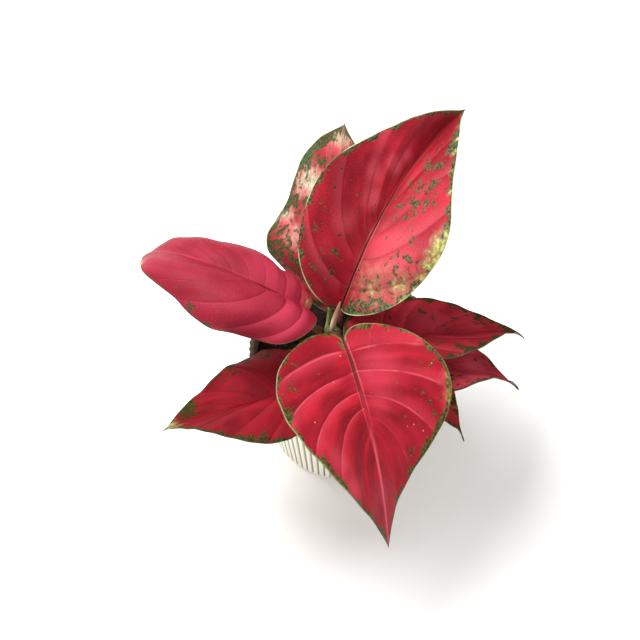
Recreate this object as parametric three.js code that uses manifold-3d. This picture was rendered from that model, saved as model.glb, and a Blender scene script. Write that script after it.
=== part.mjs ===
// Potted Chinese evergreen (aglaonema) with eight broad red leaves, in a white ribbed pot.
// Millimetres, +Z up. The origin is the middle of the pot's flat base, and the row's front is -Y.
import * as THREE from 'three';
import Module from 'manifold-3d';
import { mergeVertices } from 'three/addons/utils/BufferGeometryUtils.js';

// ---------------------------------------------------------------- driving dimensions
const CLEARANCE = 0.3; // gap between pieces that touch

const POT_HEIGHT = 108;
const POT_RIM_RADIUS = 70;
const POT_BASE_RADIUS = 62;
const POT_WALL = 2.6;
const POT_FLOOR = 4;
const POT_RIBS = 80;
const POT_RIB_DEPTH = 1.4;
const POT_EDGE_ROUND = 1.2;
const POT_SEGMENTS_PER_RIB = 3;
const DRAIN_HOLES = 4;
const DRAIN_HOLE_RADIUS = 4;
const DRAIN_CIRCLE_RADIUS = 32;
const DRAIN_HOLE_SIDES = 16;

const SOIL_TOP = 94;
const SOIL_MOUND = 4; // how far the soil rises towards the stem
const SOIL_LUMP = 1.6; // height of its crumbs and hollows
const SOIL_SEGMENTS = 36;
const SOIL_RINGS = [0.8, 0.6, 0.42, 0.26]; // where its crumbs lie, as shares of its radius

const STEM_X = -9;
const STEM_Y = 0;
const STEM_RADIUS = 6;
const STEM_FOOT = 62; // the buried end of the stem, above the pot's base
const STEM_TOP = 127;
const STEM_RING_RISE = 0.6; // old leaf scars stand out this far
const STEM_RING_HALF_HEIGHT = 1;
const STEM_RING_SPACING = 8;
const STEM_TOP_TAPER = 1;
const STEM_SIDES = 16;

const BLADE_THICKNESS = 1.0;
const MIDRIB_DEPTH = 2.2; // how far the midrib stands out below the blade, at the base
const MIDRIB_TIP_DEPTH = 0.4;
const BLADE_ROWS = 20;
const BLADE_COLUMNS = [0.07, 0.3, 0.55, 0.8, 1]; // shares of the way from midrib to margin
const ROW_CROWDING = 1.5; // rows lie closer together near the base
const MARGIN_FULLNESS = 1.15; // higher is more pointed at both ends
const VEIN_SWEEP = 1.25; // how far the rows lean towards the tip
const DROOP_GROWTH = 1.15; // the blade bends more towards its tip
const WAVE_REACH = 2.5; // how much the wave keeps to the margin
const FLATTEN_GROWTH = 3; // how much the flattening keeps to the tip
const MIDRIB_STEPS = 60; // steps in which the midrib's direction is summed up
const MIDRIB_OVERRUN = 1.1; // the bend goes on this far, as a share of the length

const PETIOLE_FOOT_RADIUS = 3.1;
const PETIOLE_CLASP = 1.3; // how deep the foot of a petiole is hollowed to clasp the stem
const PETIOLE_END = 0.5; // both ends close in to this share of the radius
const PETIOLE_TOP_RADIUS = 2.1;
const PETIOLE_TAPER = 1.4; // above 1 it has its top radius before it reaches the blade
const PETIOLE_BACK = 0.5; // share of the approach that lies back along the midrib
const PETIOLE_DOWN = 0.8; // share of the approach that lies straight down
const PETIOLE_SIDES = 8;
const PETIOLE_RINGS = 12;
const PETIOLE_SINK = 5; // the petiole runs on into the midrib this far

// Each leaf: at is where the petiole meets the blade. Angles are in degrees: heading from +X
// towards +Y, sway is how far the heading has turned by the tip, rise and droop are the slope at
// the base and at the tip. fold lifts each half off the midrib and curl bends it on to the margin.
// flatten, where a leaf has it, is the share of the fold that is gone by the tip.
// widest is the share of the length, lobe the reach of the two basal lobes, wave the height of the
// margin's waves. foot is the side of the stem that the petiole stands on, and its height. lean is
// how far the petiole goes out and up from there before it bends, and how long its approach to the
// blade is.
const LEAVES = {
  leaf_front: {
    at: [-2.5, -44, 180], heading: -70.5, sway: -13, rise: -14, droop: -41, length: 123, width: 113,
    roll: -5.5, twist: -47.5, fold: 1.5, curl: 20.5, widest: 0.43, lobe: 25,
    wave: 4, waves: 1.53, phases: [2.75, -0.2], foot: [-85, 122], lean: [0, 30, 14],
  },
  leaf_back_right: {
    at: [-4, -3, 161], heading: 64, sway: -17, rise: 44.5, droop: -3.5, length: 167, width: 103.5,
    roll: 12.5, twist: 4, fold: 44.5, curl: -30, widest: 0.365, lobe: 9,
    wave: 4, waves: 2.5, phases: [0.4, 0.65], foot: [60, 121], lean: [1, 14, 12],
  },
  leaf_left: {
    at: [-27, -4, 158], heading: 169, sway: -33, rise: 37, droop: -60, length: 156, width: 102,
    roll: 27, twist: -24, fold: 45, flatten: 1, curl: -134, widest: 0.31, lobe: 11,
    wave: 2, waves: 3.2, phases: [5.7, 4.2], foot: [190, 118], lean: [3, 16, 14],
  },
  leaf_front_left: {
    at: [-23.5, -48, 131], heading: 191, sway: -1, rise: -3, droop: -26.5, length: 107, width: 97,
    roll: 21.5, twist: 1.5, fold: 35.5, curl: -61.5, widest: 0.3, lobe: 8.5,
    wave: 1, waves: 3.7, phases: [4.2, 0], foot: [236, 106], lean: [1, 13, 16],
  },
  leaf_right: {
    at: [7.5, -25.5, 154], heading: 12.5, sway: 10, rise: -11, droop: -33.5, length: 146, width: 74.5,
    roll: -11, twist: -20.5, fold: 32.5, curl: -32, widest: 0.42, lobe: 24,
    wave: 1.1, waves: 2.85, phases: [2.4, 0.9], foot: [-38, 114], lean: [1, 24, 12],
  },
  leaf_right_lower: {
    at: [16, -25, 136], heading: -4, sway: 11, rise: -4, droop: -47, length: 127, width: 94,
    roll: -11, twist: -28, fold: 28, curl: -27, widest: 0.26, lobe: 13,
    wave: 3, waves: 2.6, phases: [1.9, 4], foot: [20, 107], lean: [5, 18, 7],
  },
  leaf_right_lowest: {
    at: [19, -16, 118], heading: -40, sway: 0, rise: 17, droop: -53, length: 91, width: 85,
    roll: -16, twist: -19, fold: 23, curl: -12, widest: 0.28, lobe: 21,
    wave: 2.3, waves: 2.6, phases: [1.3, 4.9], foot: [-32, 104], lean: [0, 8, 8],
  },
  leaf_back_left: {
    at: [-11, 15, 131], heading: 87, sway: -4, rise: 73, droop: -21, length: 154, width: 95,
    roll: -11, twist: 24, fold: -4, curl: -32, widest: 0.37, lobe: 8,
    wave: 4.5, waves: 2.2, phases: [3.0, 4.4], foot: [105, 108], lean: [3, 8, 8],
  },
};

const NEW_LEAF_FOOT = [STEM_X, STEM_Y, STEM_TOP + 3 * CLEARANCE];
const NEW_LEAF_BEND = [STEM_X, STEM_Y - 7, STEM_TOP + 21];
const NEW_LEAF_TIP = [-5, -9, 177];
const NEW_LEAF_RADIUS = 2.6;
const NEW_LEAF_FOOT_SHARE = 0.75; // its radius at the foot, as a share
const NEW_LEAF_SWELL = 0.5; // and how much wider it gets on the way up
const NEW_LEAF_BLUNTNESS = 0.02; // 0 is a sharp tip
const NEW_LEAF_SIDES = 10;
const NEW_LEAF_RINGS = 10;

const WELD_DISTANCE = 1e-4; // points nearer than this are one
const NOISE = [127.1, 311.7, 43758.5453]; // any large odd numbers that mix two indices

// ---------------------------------------------------------------- materials
function material(color, roughness) {
  return new THREE.MeshStandardMaterial({ color, roughness, metalness: 0 });
}

const potMaterial = material(0xf4f2e6, 0.4);
const soilMaterial = material(0x35261c, 0.95);
const stemMaterial = material(0x76803c, 0.6);
const leafMaterial = material(0xb8243c, 0.42);
const paleLeafMaterial = material(0xd9486a, 0.42);
const newLeafMaterial = material(0xd9a08c, 0.5);

// ---------------------------------------------------------------- small helpers
const wasm = await Module();
wasm.setup();

const radians = THREE.MathUtils.degToRad;
const clamp = THREE.MathUtils.clamp;

// An even, repeatable noise in -1..1 for the soil's crumbs.
function crumb(i, j) {
  const wave = Math.sin(i * NOISE[0] + j * NOISE[1]) * NOISE[2];
  return 2 * (wave - Math.floor(wave)) - 1;
}

function solidFrom(geometry) {
  const bare = geometry.clone();
  bare.deleteAttribute('normal');
  bare.deleteAttribute('uv');
  const merged = mergeVertices(bare, WELD_DISTANCE);
  const vertProperties = Float32Array.from(merged.attributes.position.array);
  const triVerts = Uint32Array.from(merged.index.array);
  return new wasm.Manifold(new wasm.Mesh({ numProp: 3, vertProperties, triVerts }));
}

function geometryFrom(solid) {
  const { vertProperties, triVerts } = solid.getMesh();
  const geometry = new THREE.BufferGeometry();
  geometry.setAttribute('position', new THREE.BufferAttribute(Float32Array.from(vertProperties), 3));
  geometry.setIndex(Array.from(triVerts));
  return geometry;
}

function geometryFromTriangles(points, triangles) {
  const geometry = new THREE.BufferGeometry();
  geometry.setFromPoints(points);
  geometry.setIndex(triangles);
  return geometry;
}

// A closed round bar along a curve, with a radius that changes from end to end.
function taperedBar(curve, radiusAt, sides, rings) {
  const frames = curve.computeFrenetFrames(rings, false);
  const points = [];
  const triangles = [];
  for (let ring = 0; ring <= rings; ring += 1) {
    const centre = curve.getPointAt(ring / rings);
    const radius = radiusAt(ring / rings);
    for (let side = 0; side < sides; side += 1) {
      const angle = (2 * Math.PI * side) / sides;
      const point = centre.clone();
      point.addScaledVector(frames.normals[ring], radius * Math.cos(angle));
      point.addScaledVector(frames.binormals[ring], radius * Math.sin(angle));
      points.push(point);
    }
  }
  for (let ring = 0; ring < rings; ring += 1) {
    for (let side = 0; side < sides; side += 1) {
      const a = ring * sides + side;
      const b = ring * sides + ((side + 1) % sides);
      triangles.push(a, b, a + sides, b, b + sides, a + sides);
    }
  }
  const start = points.push(curve.getPointAt(0)) - 1;
  const end = points.push(curve.getPointAt(1)) - 1;
  const last = rings * sides;
  for (let side = 0; side < sides; side += 1) {
    const next = (side + 1) % sides;
    triangles.push(start, next, side);
    triangles.push(end, last + side, last + next);
  }
  return geometryFromTriangles(points, triangles);
}

// ---------------------------------------------------------------- pot
function potRadiusAt(height) {
  return THREE.MathUtils.mapLinear(height, 0, POT_HEIGHT, POT_BASE_RADIUS, POT_RIM_RADIUS);
}

function potInsideAt(height) {
  return potRadiusAt(height) - POT_WALL - POT_RIB_DEPTH;
}

function makePot() {
  const round = POT_EDGE_ROUND;
  const profile = [
    [0, 0],
    [POT_BASE_RADIUS - POT_RIB_DEPTH - round, 0],
    [potRadiusAt(round), round],
    [potRadiusAt(POT_HEIGHT - round), POT_HEIGHT - round],
    [POT_RIM_RADIUS - round, POT_HEIGHT],
    [potInsideAt(POT_HEIGHT), POT_HEIGHT],
    [potInsideAt(POT_FLOOR), POT_FLOOR],
    [0, POT_FLOOR],
  ];
  const wallFoot = 2;
  const wallTop = 3;
  const outline = profile.map(([radius, height]) => new THREE.Vector2(radius, height));
  const geometry = new THREE.LatheGeometry(outline, POT_RIBS * POT_SEGMENTS_PER_RIB);
  geometry.rotateX(Math.PI / 2);

  // The grooves between the ribs: one column of each rib's segments is drawn in on the outer wall.
  const position = geometry.attributes.position;
  for (let i = 0; i < position.count; i += 1) {
    const column = Math.floor(i / profile.length);
    const ring = i % profile.length;
    const onOuterWall = ring === wallFoot || ring === wallTop;
    if (onOuterWall && column % POT_SEGMENTS_PER_RIB === 0) {
      const radius = Math.hypot(position.getX(i), position.getY(i));
      const share = (radius - POT_RIB_DEPTH) / radius;
      position.setXY(i, position.getX(i) * share, position.getY(i) * share);
    }
  }

  let pot = solidFrom(geometry);
  for (let hole = 0; hole < DRAIN_HOLES; hole += 1) {
    const angle = (2 * Math.PI * (hole + 0.5)) / DRAIN_HOLES;
    const x = DRAIN_CIRCLE_RADIUS * Math.cos(angle);
    const y = DRAIN_CIRCLE_RADIUS * Math.sin(angle);
    const radius = DRAIN_HOLE_RADIUS;
    const drill = new THREE.CylinderGeometry(radius, radius, 3 * POT_FLOOR, DRAIN_HOLE_SIDES);
    drill.rotateX(Math.PI / 2);
    drill.translate(x, y, POT_FLOOR / 2);
    pot = pot.subtract(solidFrom(drill));
  }
  return geometryFrom(pot);
}

// ---------------------------------------------------------------- soil
function makeSoil() {
  const bottom = POT_FLOOR + CLEARANCE;
  const edge = potInsideAt(SOIL_TOP) - CLEARANCE;
  const profile = [
    [0, bottom],
    [potInsideAt(bottom) - CLEARANCE, bottom],
    [edge, SOIL_TOP],
    ...SOIL_RINGS.map((share) => [edge * share, SOIL_TOP + SOIL_MOUND * (1 - share)]),
    [0, SOIL_TOP + SOIL_MOUND],
  ];
  const edgeRing = 2;
  const outline = profile.map(([radius, height]) => new THREE.Vector2(radius, height));
  const geometry = new THREE.LatheGeometry(outline, SOIL_SEGMENTS);
  geometry.rotateX(Math.PI / 2);
  const position = geometry.attributes.position;
  for (let i = 0; i < position.count; i += 1) {
    const column = Math.floor(i / profile.length) % SOIL_SEGMENTS;
    const ring = i % profile.length;
    if (ring > edgeRing && ring < profile.length - 1) {
      position.setZ(i, position.getZ(i) + SOIL_LUMP * crumb(column, ring));
    }
  }
  const depth = SOIL_TOP + 2 * SOIL_MOUND - STEM_FOOT + CLEARANCE;
  const radius = STEM_RADIUS + STEM_RING_RISE + CLEARANCE;
  const hole = new THREE.CylinderGeometry(radius, radius, depth, STEM_SIDES);
  hole.rotateX(Math.PI / 2);
  hole.translate(STEM_X, STEM_Y, STEM_FOOT - CLEARANCE + depth / 2);
  return geometryFrom(solidFrom(geometry).subtract(solidFrom(hole)));
}

// ---------------------------------------------------------------- stem
// The stem, or with margin above 0 the space that it needs.
function stemSolid(margin) {
  const radius = STEM_RADIUS + margin;
  const half = STEM_RING_HALF_HEIGHT;
  const profile = [
    [0, STEM_FOOT - margin],
    [radius, STEM_FOOT - margin],
  ];
  for (let z = STEM_FOOT + STEM_RING_SPACING; z < STEM_TOP - 2 * half; z += STEM_RING_SPACING) {
    profile.push([radius, z - half - margin]);
    profile.push([radius + STEM_RING_RISE, z]);
    profile.push([radius, z + half + margin]);
  }
  profile.push([radius - STEM_TOP_TAPER, STEM_TOP + margin]);
  profile.push([0, STEM_TOP + margin]);
  const outline = profile.map(([reach, height]) => new THREE.Vector2(reach, height));
  const geometry = new THREE.LatheGeometry(outline, STEM_SIDES);
  geometry.rotateX(Math.PI / 2);
  geometry.translate(STEM_X, STEM_Y, 0);
  return solidFrom(geometry);
}

// ---------------------------------------------------------------- leaves
// The direction of the midrib, a given distance along it.
function midribDirection(leaf, along) {
  const share = clamp(along / leaf.length, 0, MIDRIB_OVERRUN);
  const heading = radians(leaf.heading + leaf.sway * share);
  const slope = radians(leaf.rise + (leaf.droop - leaf.rise) * share ** DROOP_GROWTH);
  return {
    heading,
    tangent: new THREE.Vector3(
      Math.cos(slope) * Math.cos(heading),
      Math.cos(slope) * Math.sin(heading),
      Math.sin(slope),
    ),
  };
}

// A point of the midrib: the direction summed up from the base.
function midribPoint(leaf, along) {
  const point = new THREE.Vector3(...leaf.at);
  if (along <= 0) return point.addScaledVector(midribDirection(leaf, 0).tangent, along);
  const step = along / MIDRIB_STEPS;
  for (let i = 0; i < MIDRIB_STEPS; i += 1) {
    point.addScaledVector(midribDirection(leaf, (i + 0.5) * step).tangent, step);
  }
  return point;
}

// Bends the flat blade into its place: along is measured on the midrib, across from it, positive
// to the left of the heading, and lift stands off the blade on its upper side.
function bladePoint(leaf, along, across, lift) {
  const { heading, tangent } = midribDirection(leaf, along);
  const level = new THREE.Vector3(-Math.sin(heading), Math.cos(heading), 0);
  const share = clamp(along / leaf.length, 0, 1);
  const roll = radians(leaf.roll + leaf.twist * share);
  const side = level.clone().applyAxisAngle(tangent, roll);
  const up = new THREE.Vector3().crossVectors(tangent, side);
  const half = leaf.width / 2;
  const fold = radians(leaf.fold) * (1 - (leaf.flatten ?? 0) * share ** FLATTEN_GROWTH);
  const curl = radians(leaf.curl);
  const angle = fold + (curl * Math.abs(across)) / half;
  const outward = (half / curl) * (Math.sin(angle) - Math.sin(fold)) - Math.sin(angle) * lift;
  const upward = (-half / curl) * (Math.cos(angle) - Math.cos(fold)) + Math.cos(angle) * lift;
  return midribPoint(leaf, along)
    .addScaledVector(side, Math.sign(across) * outward)
    .addScaledVector(up, upward);
}

// One row of the blade, share 0 at the base and 1 at the tip: its ends on the flat blade, and the
// height of the wave at its margin.
function bladeRow(leaf, share, sign) {
  const exponent = Math.log(0.5) / Math.log(leaf.widest);
  const fullness = Math.max(0, Math.sin(Math.PI * share ** exponent)) ** MARGIN_FULLNESS;
  const phase = leaf.phases[sign > 0 ? 0 : 1];
  const wave = leaf.wave * Math.sin(2 * Math.PI * leaf.waves * share + phase) * Math.sqrt(fullness);
  const root = Math.sqrt(share);
  const lobe = 4 * root * (1 - root); // 0 at both ends, 1 a quarter of the way
  return {
    start: leaf.length * share ** VEIN_SWEEP,
    end: leaf.length * share - leaf.lobe * lobe,
    reach: (leaf.width / 2) * fullness + wave / 2,
    wave,
  };
}

function makeBlade(leaf) {
  const shares = [0, ...BLADE_COLUMNS];
  const columns = BLADE_COLUMNS.length;
  const points = [];
  const triangles = [];
  const upper = new Map();
  const lower = new Map();

  // Base and tip are single points, shared by all the columns of their rows.
  for (let row = 0; row <= BLADE_ROWS; row += 1) {
    const atEnd = row === 0 || row === BLADE_ROWS;
    const share = (row / BLADE_ROWS) ** ROW_CROWDING;
    for (let column = -columns; column <= columns; column += 1) {
      if (atEnd && column !== -columns) {
        upper.set(`${row},${column}`, upper.get(`${row},${-columns}`));
        lower.set(`${row},${column}`, lower.get(`${row},${-columns}`));
        continue;
      }
      const sign = Math.sign(column) || 1;
      const out = atEnd ? 0 : shares[Math.abs(column)];
      const { start, end, reach, wave } = bladeRow(leaf, share, sign);
      const along = start + (end - start) * out;
      const across = sign * Math.max(reach * out, 0);
      const lift = wave * out ** WAVE_REACH;
      const rib = out === 0 ? THREE.MathUtils.lerp(MIDRIB_DEPTH, MIDRIB_TIP_DEPTH, share) : 0;
      const half = BLADE_THICKNESS / 2;
      const narrow = out === 0 ? 1 / Math.cos(radians(leaf.fold)) : 1;
      const top = onMidribOrBlade(leaf, along, across, lift + half * narrow, out);
      const bottom = onMidribOrBlade(leaf, along, across, lift - half * narrow - rib, out);
      upper.set(`${row},${column}`, points.push(top) - 1);
      lower.set(`${row},${column}`, points.push(bottom) - 1);
    }
  }

  const face = (a, b, c) => {
    if (a !== b && b !== c && c !== a) triangles.push(a, b, c);
  };
  const quad = (a, b, c, d) => {
    face(a, b, c);
    face(a, c, d);
  };
  for (let row = 0; row < BLADE_ROWS; row += 1) {
    for (let column = -columns; column < columns; column += 1) {
      const corners = [
        `${row},${column}`, `${row + 1},${column}`, `${row + 1},${column + 1}`, `${row},${column + 1}`,
      ];
      quad(...corners.map((key) => upper.get(key)));
      const [a, b, c, d] = corners.map((key) => lower.get(key));
      face(a, c, b);
      face(a, d, c);
    }
    for (const column of [-columns, columns]) {
      const near = `${row},${column}`;
      const far = `${row + 1},${column}`;
      const rim = [upper.get(near), lower.get(near), lower.get(far), upper.get(far)];
      if (column > 0) rim.reverse();
      quad(...rim);
    }
  }
  return geometryFromTriangles(points, triangles);
}

// On the midrib the two halves meet in a crease, so the lift there is straight up from the midrib.
function onMidribOrBlade(leaf, along, across, lift, out) {
  if (out > 0) return bladePoint(leaf, along, across, lift);
  return bladePoint({ ...leaf, fold: 0 }, along, 0, lift);
}

function petioleCurve(leaf) {
  const [angle, height] = leaf.foot;
  const [outward, upward, approach] = leaf.lean;
  const away = new THREE.Vector3(Math.cos(radians(angle)), Math.sin(radians(angle)), 0);
  const seat = STEM_RADIUS + CLEARANCE + PETIOLE_FOOT_RADIUS - PETIOLE_CLASP;
  const foot = new THREE.Vector3(STEM_X, STEM_Y, height).addScaledVector(away, seat);
  const shoulder = foot.clone().addScaledVector(away, outward);
  shoulder.z += upward;
  const midribCore = (-MIDRIB_DEPTH - BLADE_THICKNESS) / 2;
  const top = bladePoint({ ...leaf, fold: 0 }, 0, 0, midribCore);
  const inside = bladePoint({ ...leaf, fold: 0 }, PETIOLE_SINK, 0, midribCore);
  const below = top.clone();
  below.addScaledVector(midribDirection(leaf, 0).tangent, -approach * PETIOLE_BACK);
  below.z -= approach * PETIOLE_DOWN;
  const path = new THREE.CurvePath();
  path.add(new THREE.CubicBezierCurve3(foot, shoulder, below, top));
  path.add(new THREE.LineCurve3(top, inside));
  const points = path.getSpacedPoints(PETIOLE_RINGS);
  return new THREE.CatmullRomCurve3(points);
}

function makeLeaf(leaf) {
  const radiusAt = (share) => {
    const tapered = Math.min(1, PETIOLE_TAPER * share);
    const radius = THREE.MathUtils.lerp(PETIOLE_FOOT_RADIUS, PETIOLE_TOP_RADIUS, tapered);
    return share === 0 || share === 1 ? radius * PETIOLE_END : radius;
  };
  const bar = solidFrom(taperedBar(petioleCurve(leaf), radiusAt, PETIOLE_SIDES, PETIOLE_RINGS));
  const petiole = bar.subtract(stemSolid(CLEARANCE));
  return geometryFrom(solidFrom(makeBlade(leaf)).add(petiole));
}

function makeNewLeaf() {
  const path = [NEW_LEAF_FOOT, NEW_LEAF_BEND, NEW_LEAF_TIP];
  const curve = new THREE.CatmullRomCurve3(path.map((point) => new THREE.Vector3(...point)));
  const radiusAt = (share) => {
    const swell = NEW_LEAF_FOOT_SHARE + NEW_LEAF_SWELL * share;
    return NEW_LEAF_RADIUS * swell * Math.sqrt(1 + NEW_LEAF_BLUNTNESS - share);
  };
  return geometryFrom(solidFrom(taperedBar(curve, radiusAt, NEW_LEAF_SIDES, NEW_LEAF_RINGS)));
}

// ---------------------------------------------------------------- assembly
const group = new THREE.Group();

function addPiece(name, geometry, pieceMaterial) {
  const mesh = new THREE.Mesh(geometry, pieceMaterial);
  mesh.name = name;
  group.add(mesh);
}

addPiece('pot', makePot(), potMaterial);
addPiece('soil', makeSoil(), soilMaterial);
addPiece('stem', geometryFrom(stemSolid(0)), stemMaterial);
for (const [name, leaf] of Object.entries(LEAVES)) {
  addPiece(name, makeLeaf(leaf), name === 'leaf_left' ? paleLeafMaterial : leafMaterial);
}
addPiece('new_leaf', makeNewLeaf(), newLeafMaterial);

export default group;
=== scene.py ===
import math

import bmesh
import bpy
import numpy as np
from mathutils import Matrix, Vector


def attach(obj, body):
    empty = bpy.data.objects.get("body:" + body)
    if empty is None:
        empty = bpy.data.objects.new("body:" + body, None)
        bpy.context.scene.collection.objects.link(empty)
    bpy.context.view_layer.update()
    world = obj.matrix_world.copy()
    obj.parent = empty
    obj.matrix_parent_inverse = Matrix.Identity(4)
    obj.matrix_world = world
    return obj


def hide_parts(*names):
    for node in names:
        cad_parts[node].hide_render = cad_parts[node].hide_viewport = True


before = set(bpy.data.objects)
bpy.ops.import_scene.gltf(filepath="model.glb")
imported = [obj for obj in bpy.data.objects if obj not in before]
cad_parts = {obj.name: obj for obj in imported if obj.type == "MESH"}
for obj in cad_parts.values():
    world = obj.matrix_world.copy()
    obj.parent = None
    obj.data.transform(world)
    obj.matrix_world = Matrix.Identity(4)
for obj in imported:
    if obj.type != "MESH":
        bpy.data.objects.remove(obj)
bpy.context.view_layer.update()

MM = 0.001
FULL_TURN = 2 * np.pi
ANY_PHASE = (0, 6.28)


class Values(dict):
    """A dict whose entries can be written as attributes."""

    __getattr__, __setattr__ = dict.__getitem__, dict.__setitem__


# ---------------------------------------------------------------- dimensions, in millimetres
# These repeat the driving dimensions of the CAD part, so that every piece lies where its solid is.
POT_HEIGHT = 108.0
POT_RIM_RADIUS = 70.0
POT_BASE_RADIUS = 62.0
POT_WALL = 2.6
POT_FLOOR = 4.0
POT_RIBS = 80
POT_RIB_DEPTH = 1.4
DRAIN_HOLES = 4
DRAIN_HOLE_RADIUS = 4.0
DRAIN_CIRCLE_RADIUS = 32.0
CLEARANCE = 0.3
SOIL_TOP = 94.0
SOIL_MOUND = 4.0
STEM_X, STEM_Y = -9.0, 0.0
STEM_RADIUS = 6.0
STEM_FOOT = 62.0
STEM_TOP = 127.0
STEM_RING_SPACING = 8.0
MARGIN_FULLNESS = 1.15
DROOP_GROWTH = 1.15
WAVE_REACH = 2.5
FLATTEN_GROWTH = 3.0
MIDRIB_OVERRUN = 1.1
MIDRIB_DEPTH, MIDRIB_TIP_DEPTH = 2.2, 0.4

# Each leaf, angles in degrees: where its blade starts, its heading and how far that swings, its
# slope at the base (rise) and at the tip (droop), its length and width, its roll about the midrib
# and how far that twists, how steeply its halves stand (fold) and bend (curl), whether the fold
# flattens out towards the tip, the share of its length at which it is widest, how far its base
# reaches back (lobe), the waves of its margin, and the petiole: where it leaves the stem, as an
# angle and a height, and how far it leans out, rises and approaches the blade.
LEAVES = {
    "leaf_front": dict(
        at=(-2.5, -44, 180), heading=-70.5, sway=-13, rise=-14, droop=-41, length=123, width=113,
        roll=-5.5, twist=-47.5, fold=1.5, curl=20.5, widest=0.43, lobe=25,
        wave=4, waves=1.53, phases=(2.75, -0.2), foot=(-85, 122), lean=(0, 30, 14)),
    "leaf_back_right": dict(
        at=(-4, -3, 161), heading=64, sway=-17, rise=44.5, droop=-3.5, length=167, width=103.5,
        roll=12.5, twist=4, fold=44.5, curl=-30, widest=0.365, lobe=9,
        wave=4, waves=2.5, phases=(0.4, 0.65), foot=(60, 121), lean=(1, 14, 12)),
    "leaf_left": dict(
        at=(-27, -4, 158), heading=169, sway=-33, rise=37, droop=-60, length=156, width=102,
        roll=27, twist=-24, fold=45, flatten=1, curl=-134, widest=0.31, lobe=11,
        wave=2, waves=3.2, phases=(5.7, 4.2), foot=(190, 118), lean=(3, 16, 14)),
    "leaf_front_left": dict(
        at=(-23.5, -48, 131), heading=191, sway=-1, rise=-3, droop=-26.5, length=107, width=97,
        roll=21.5, twist=1.5, fold=35.5, curl=-61.5, widest=0.3, lobe=8.5,
        wave=1, waves=3.7, phases=(4.2, 0), foot=(236, 106), lean=(1, 13, 16)),
    "leaf_right": dict(
        at=(7.5, -25.5, 154), heading=12.5, sway=10, rise=-11, droop=-33.5, length=146, width=74.5,
        roll=-11, twist=-20.5, fold=32.5, curl=-32, widest=0.42, lobe=24,
        wave=1.1, waves=2.85, phases=(2.4, 0.9), foot=(-38, 114), lean=(1, 24, 12)),
    "leaf_right_lower": dict(
        at=(16, -25, 136), heading=-4, sway=11, rise=-4, droop=-47, length=127, width=94,
        roll=-11, twist=-28, fold=28, curl=-27, widest=0.26, lobe=13,
        wave=3, waves=2.6, phases=(1.9, 4.0), foot=(20, 107), lean=(5, 18, 7)),
    "leaf_right_lowest": dict(
        at=(19, -16, 118), heading=-40, sway=0, rise=17, droop=-53, length=91, width=85,
        roll=-16, twist=-19, fold=23, curl=-12, widest=0.28, lobe=21,
        wave=2.3, waves=2.6, phases=(1.3, 4.9), foot=(-32, 104), lean=(0, 8, 8)),
    "leaf_back_left": dict(
        at=(-11, 15, 131), heading=87, sway=-4, rise=73, droop=-21, length=154, width=95,
        roll=-11, twist=24, fold=-4, curl=-32, widest=0.37, lobe=8,
        wave=4.5, waves=2.2, phases=(3.0, 4.4), foot=(105, 108), lean=(3, 8, 8)),
}

# How each leaf is finished: the seed of its small unevenness, the number of lateral veins to a
# full length, the number of the one at the base, how far those at the base fan out, the height of
# the bulge between them, how far the drip tip hooks down and sideways in degrees, how much
# narrower it is (taper), how far the veins of each half arch out in the middle (square), and the
# share of the length from which the blade is smooth (calm).
FORM = dict(start=0.2, fan=0.6, hook=(0, 0), taper=0.0, square=(0.0, 0.0), calm=1.0)
FORMS = {
    "leaf_front": dict(FORM, seed=11, veins=9.6, start=-0.23, fan=1.0, bulge=1.7),
    "leaf_back_right": dict(FORM, seed=23, veins=8.6, start=0.3, bulge=2.2),
    "leaf_left": dict(FORM, seed=37, veins=13.5, bulge=1.2, square=(0.45, 0.1), calm=0.4),
    "leaf_front_left": dict(FORM, seed=41, veins=8.0, bulge=0.8),
    "leaf_right": dict(FORM, seed=53, veins=8.5, bulge=0.8, hook=(24, -25), taper=0.5),
    "leaf_right_lower": dict(FORM, seed=67, veins=8.0, bulge=0.7, hook=(10, -22), taper=0.5),
    "leaf_right_lowest": dict(FORM, seed=71, veins=8.0, bulge=0.6, hook=(0, -20), taper=0.4),
    "leaf_back_left": dict(FORM, seed=83, veins=8.0, start=0.4, bulge=2.2),
}

# ---------------------------------------------------------------- leaf blades
LEAF_ROWS = 170
LEAF_COLUMNS = 30  # in each half
ROW_TIP_CROWDING = 3.2  # rows lie closer together near the tip
ROW_BASE_CROWDING = 1.6  # and near the base
COLUMN_CROWDING = 1.35  # columns lie closer together near the midrib
RIM_COLUMN = 0.985  # the last column but one, as a share of the way out
MIDRIB_STEPS = 600
HOOK_START, HOOK_GROWTH = 0.84, 1.5
TAPER_SPAN = (0.84, 0.97)

# The lateral veins.
MOST_VEINS = 14
VEIN_RUN = 3.4  # how far they run towards the tip
VEIN_ARCH, VEIN_ARCH_POWER = 0.75, 2.4  # how much of that run lies near the margin
FAN_POWER = 1.3  # how those at the base bend forward on their way out
FAN_VEINS = 1.5  # and how many do
SQUARE_SPAN = (0.05, 0.2)
VEIN_SHIFT, VEIN_JITTER = 0.12, 0.16  # how far all of them and each one are out of step

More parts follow.
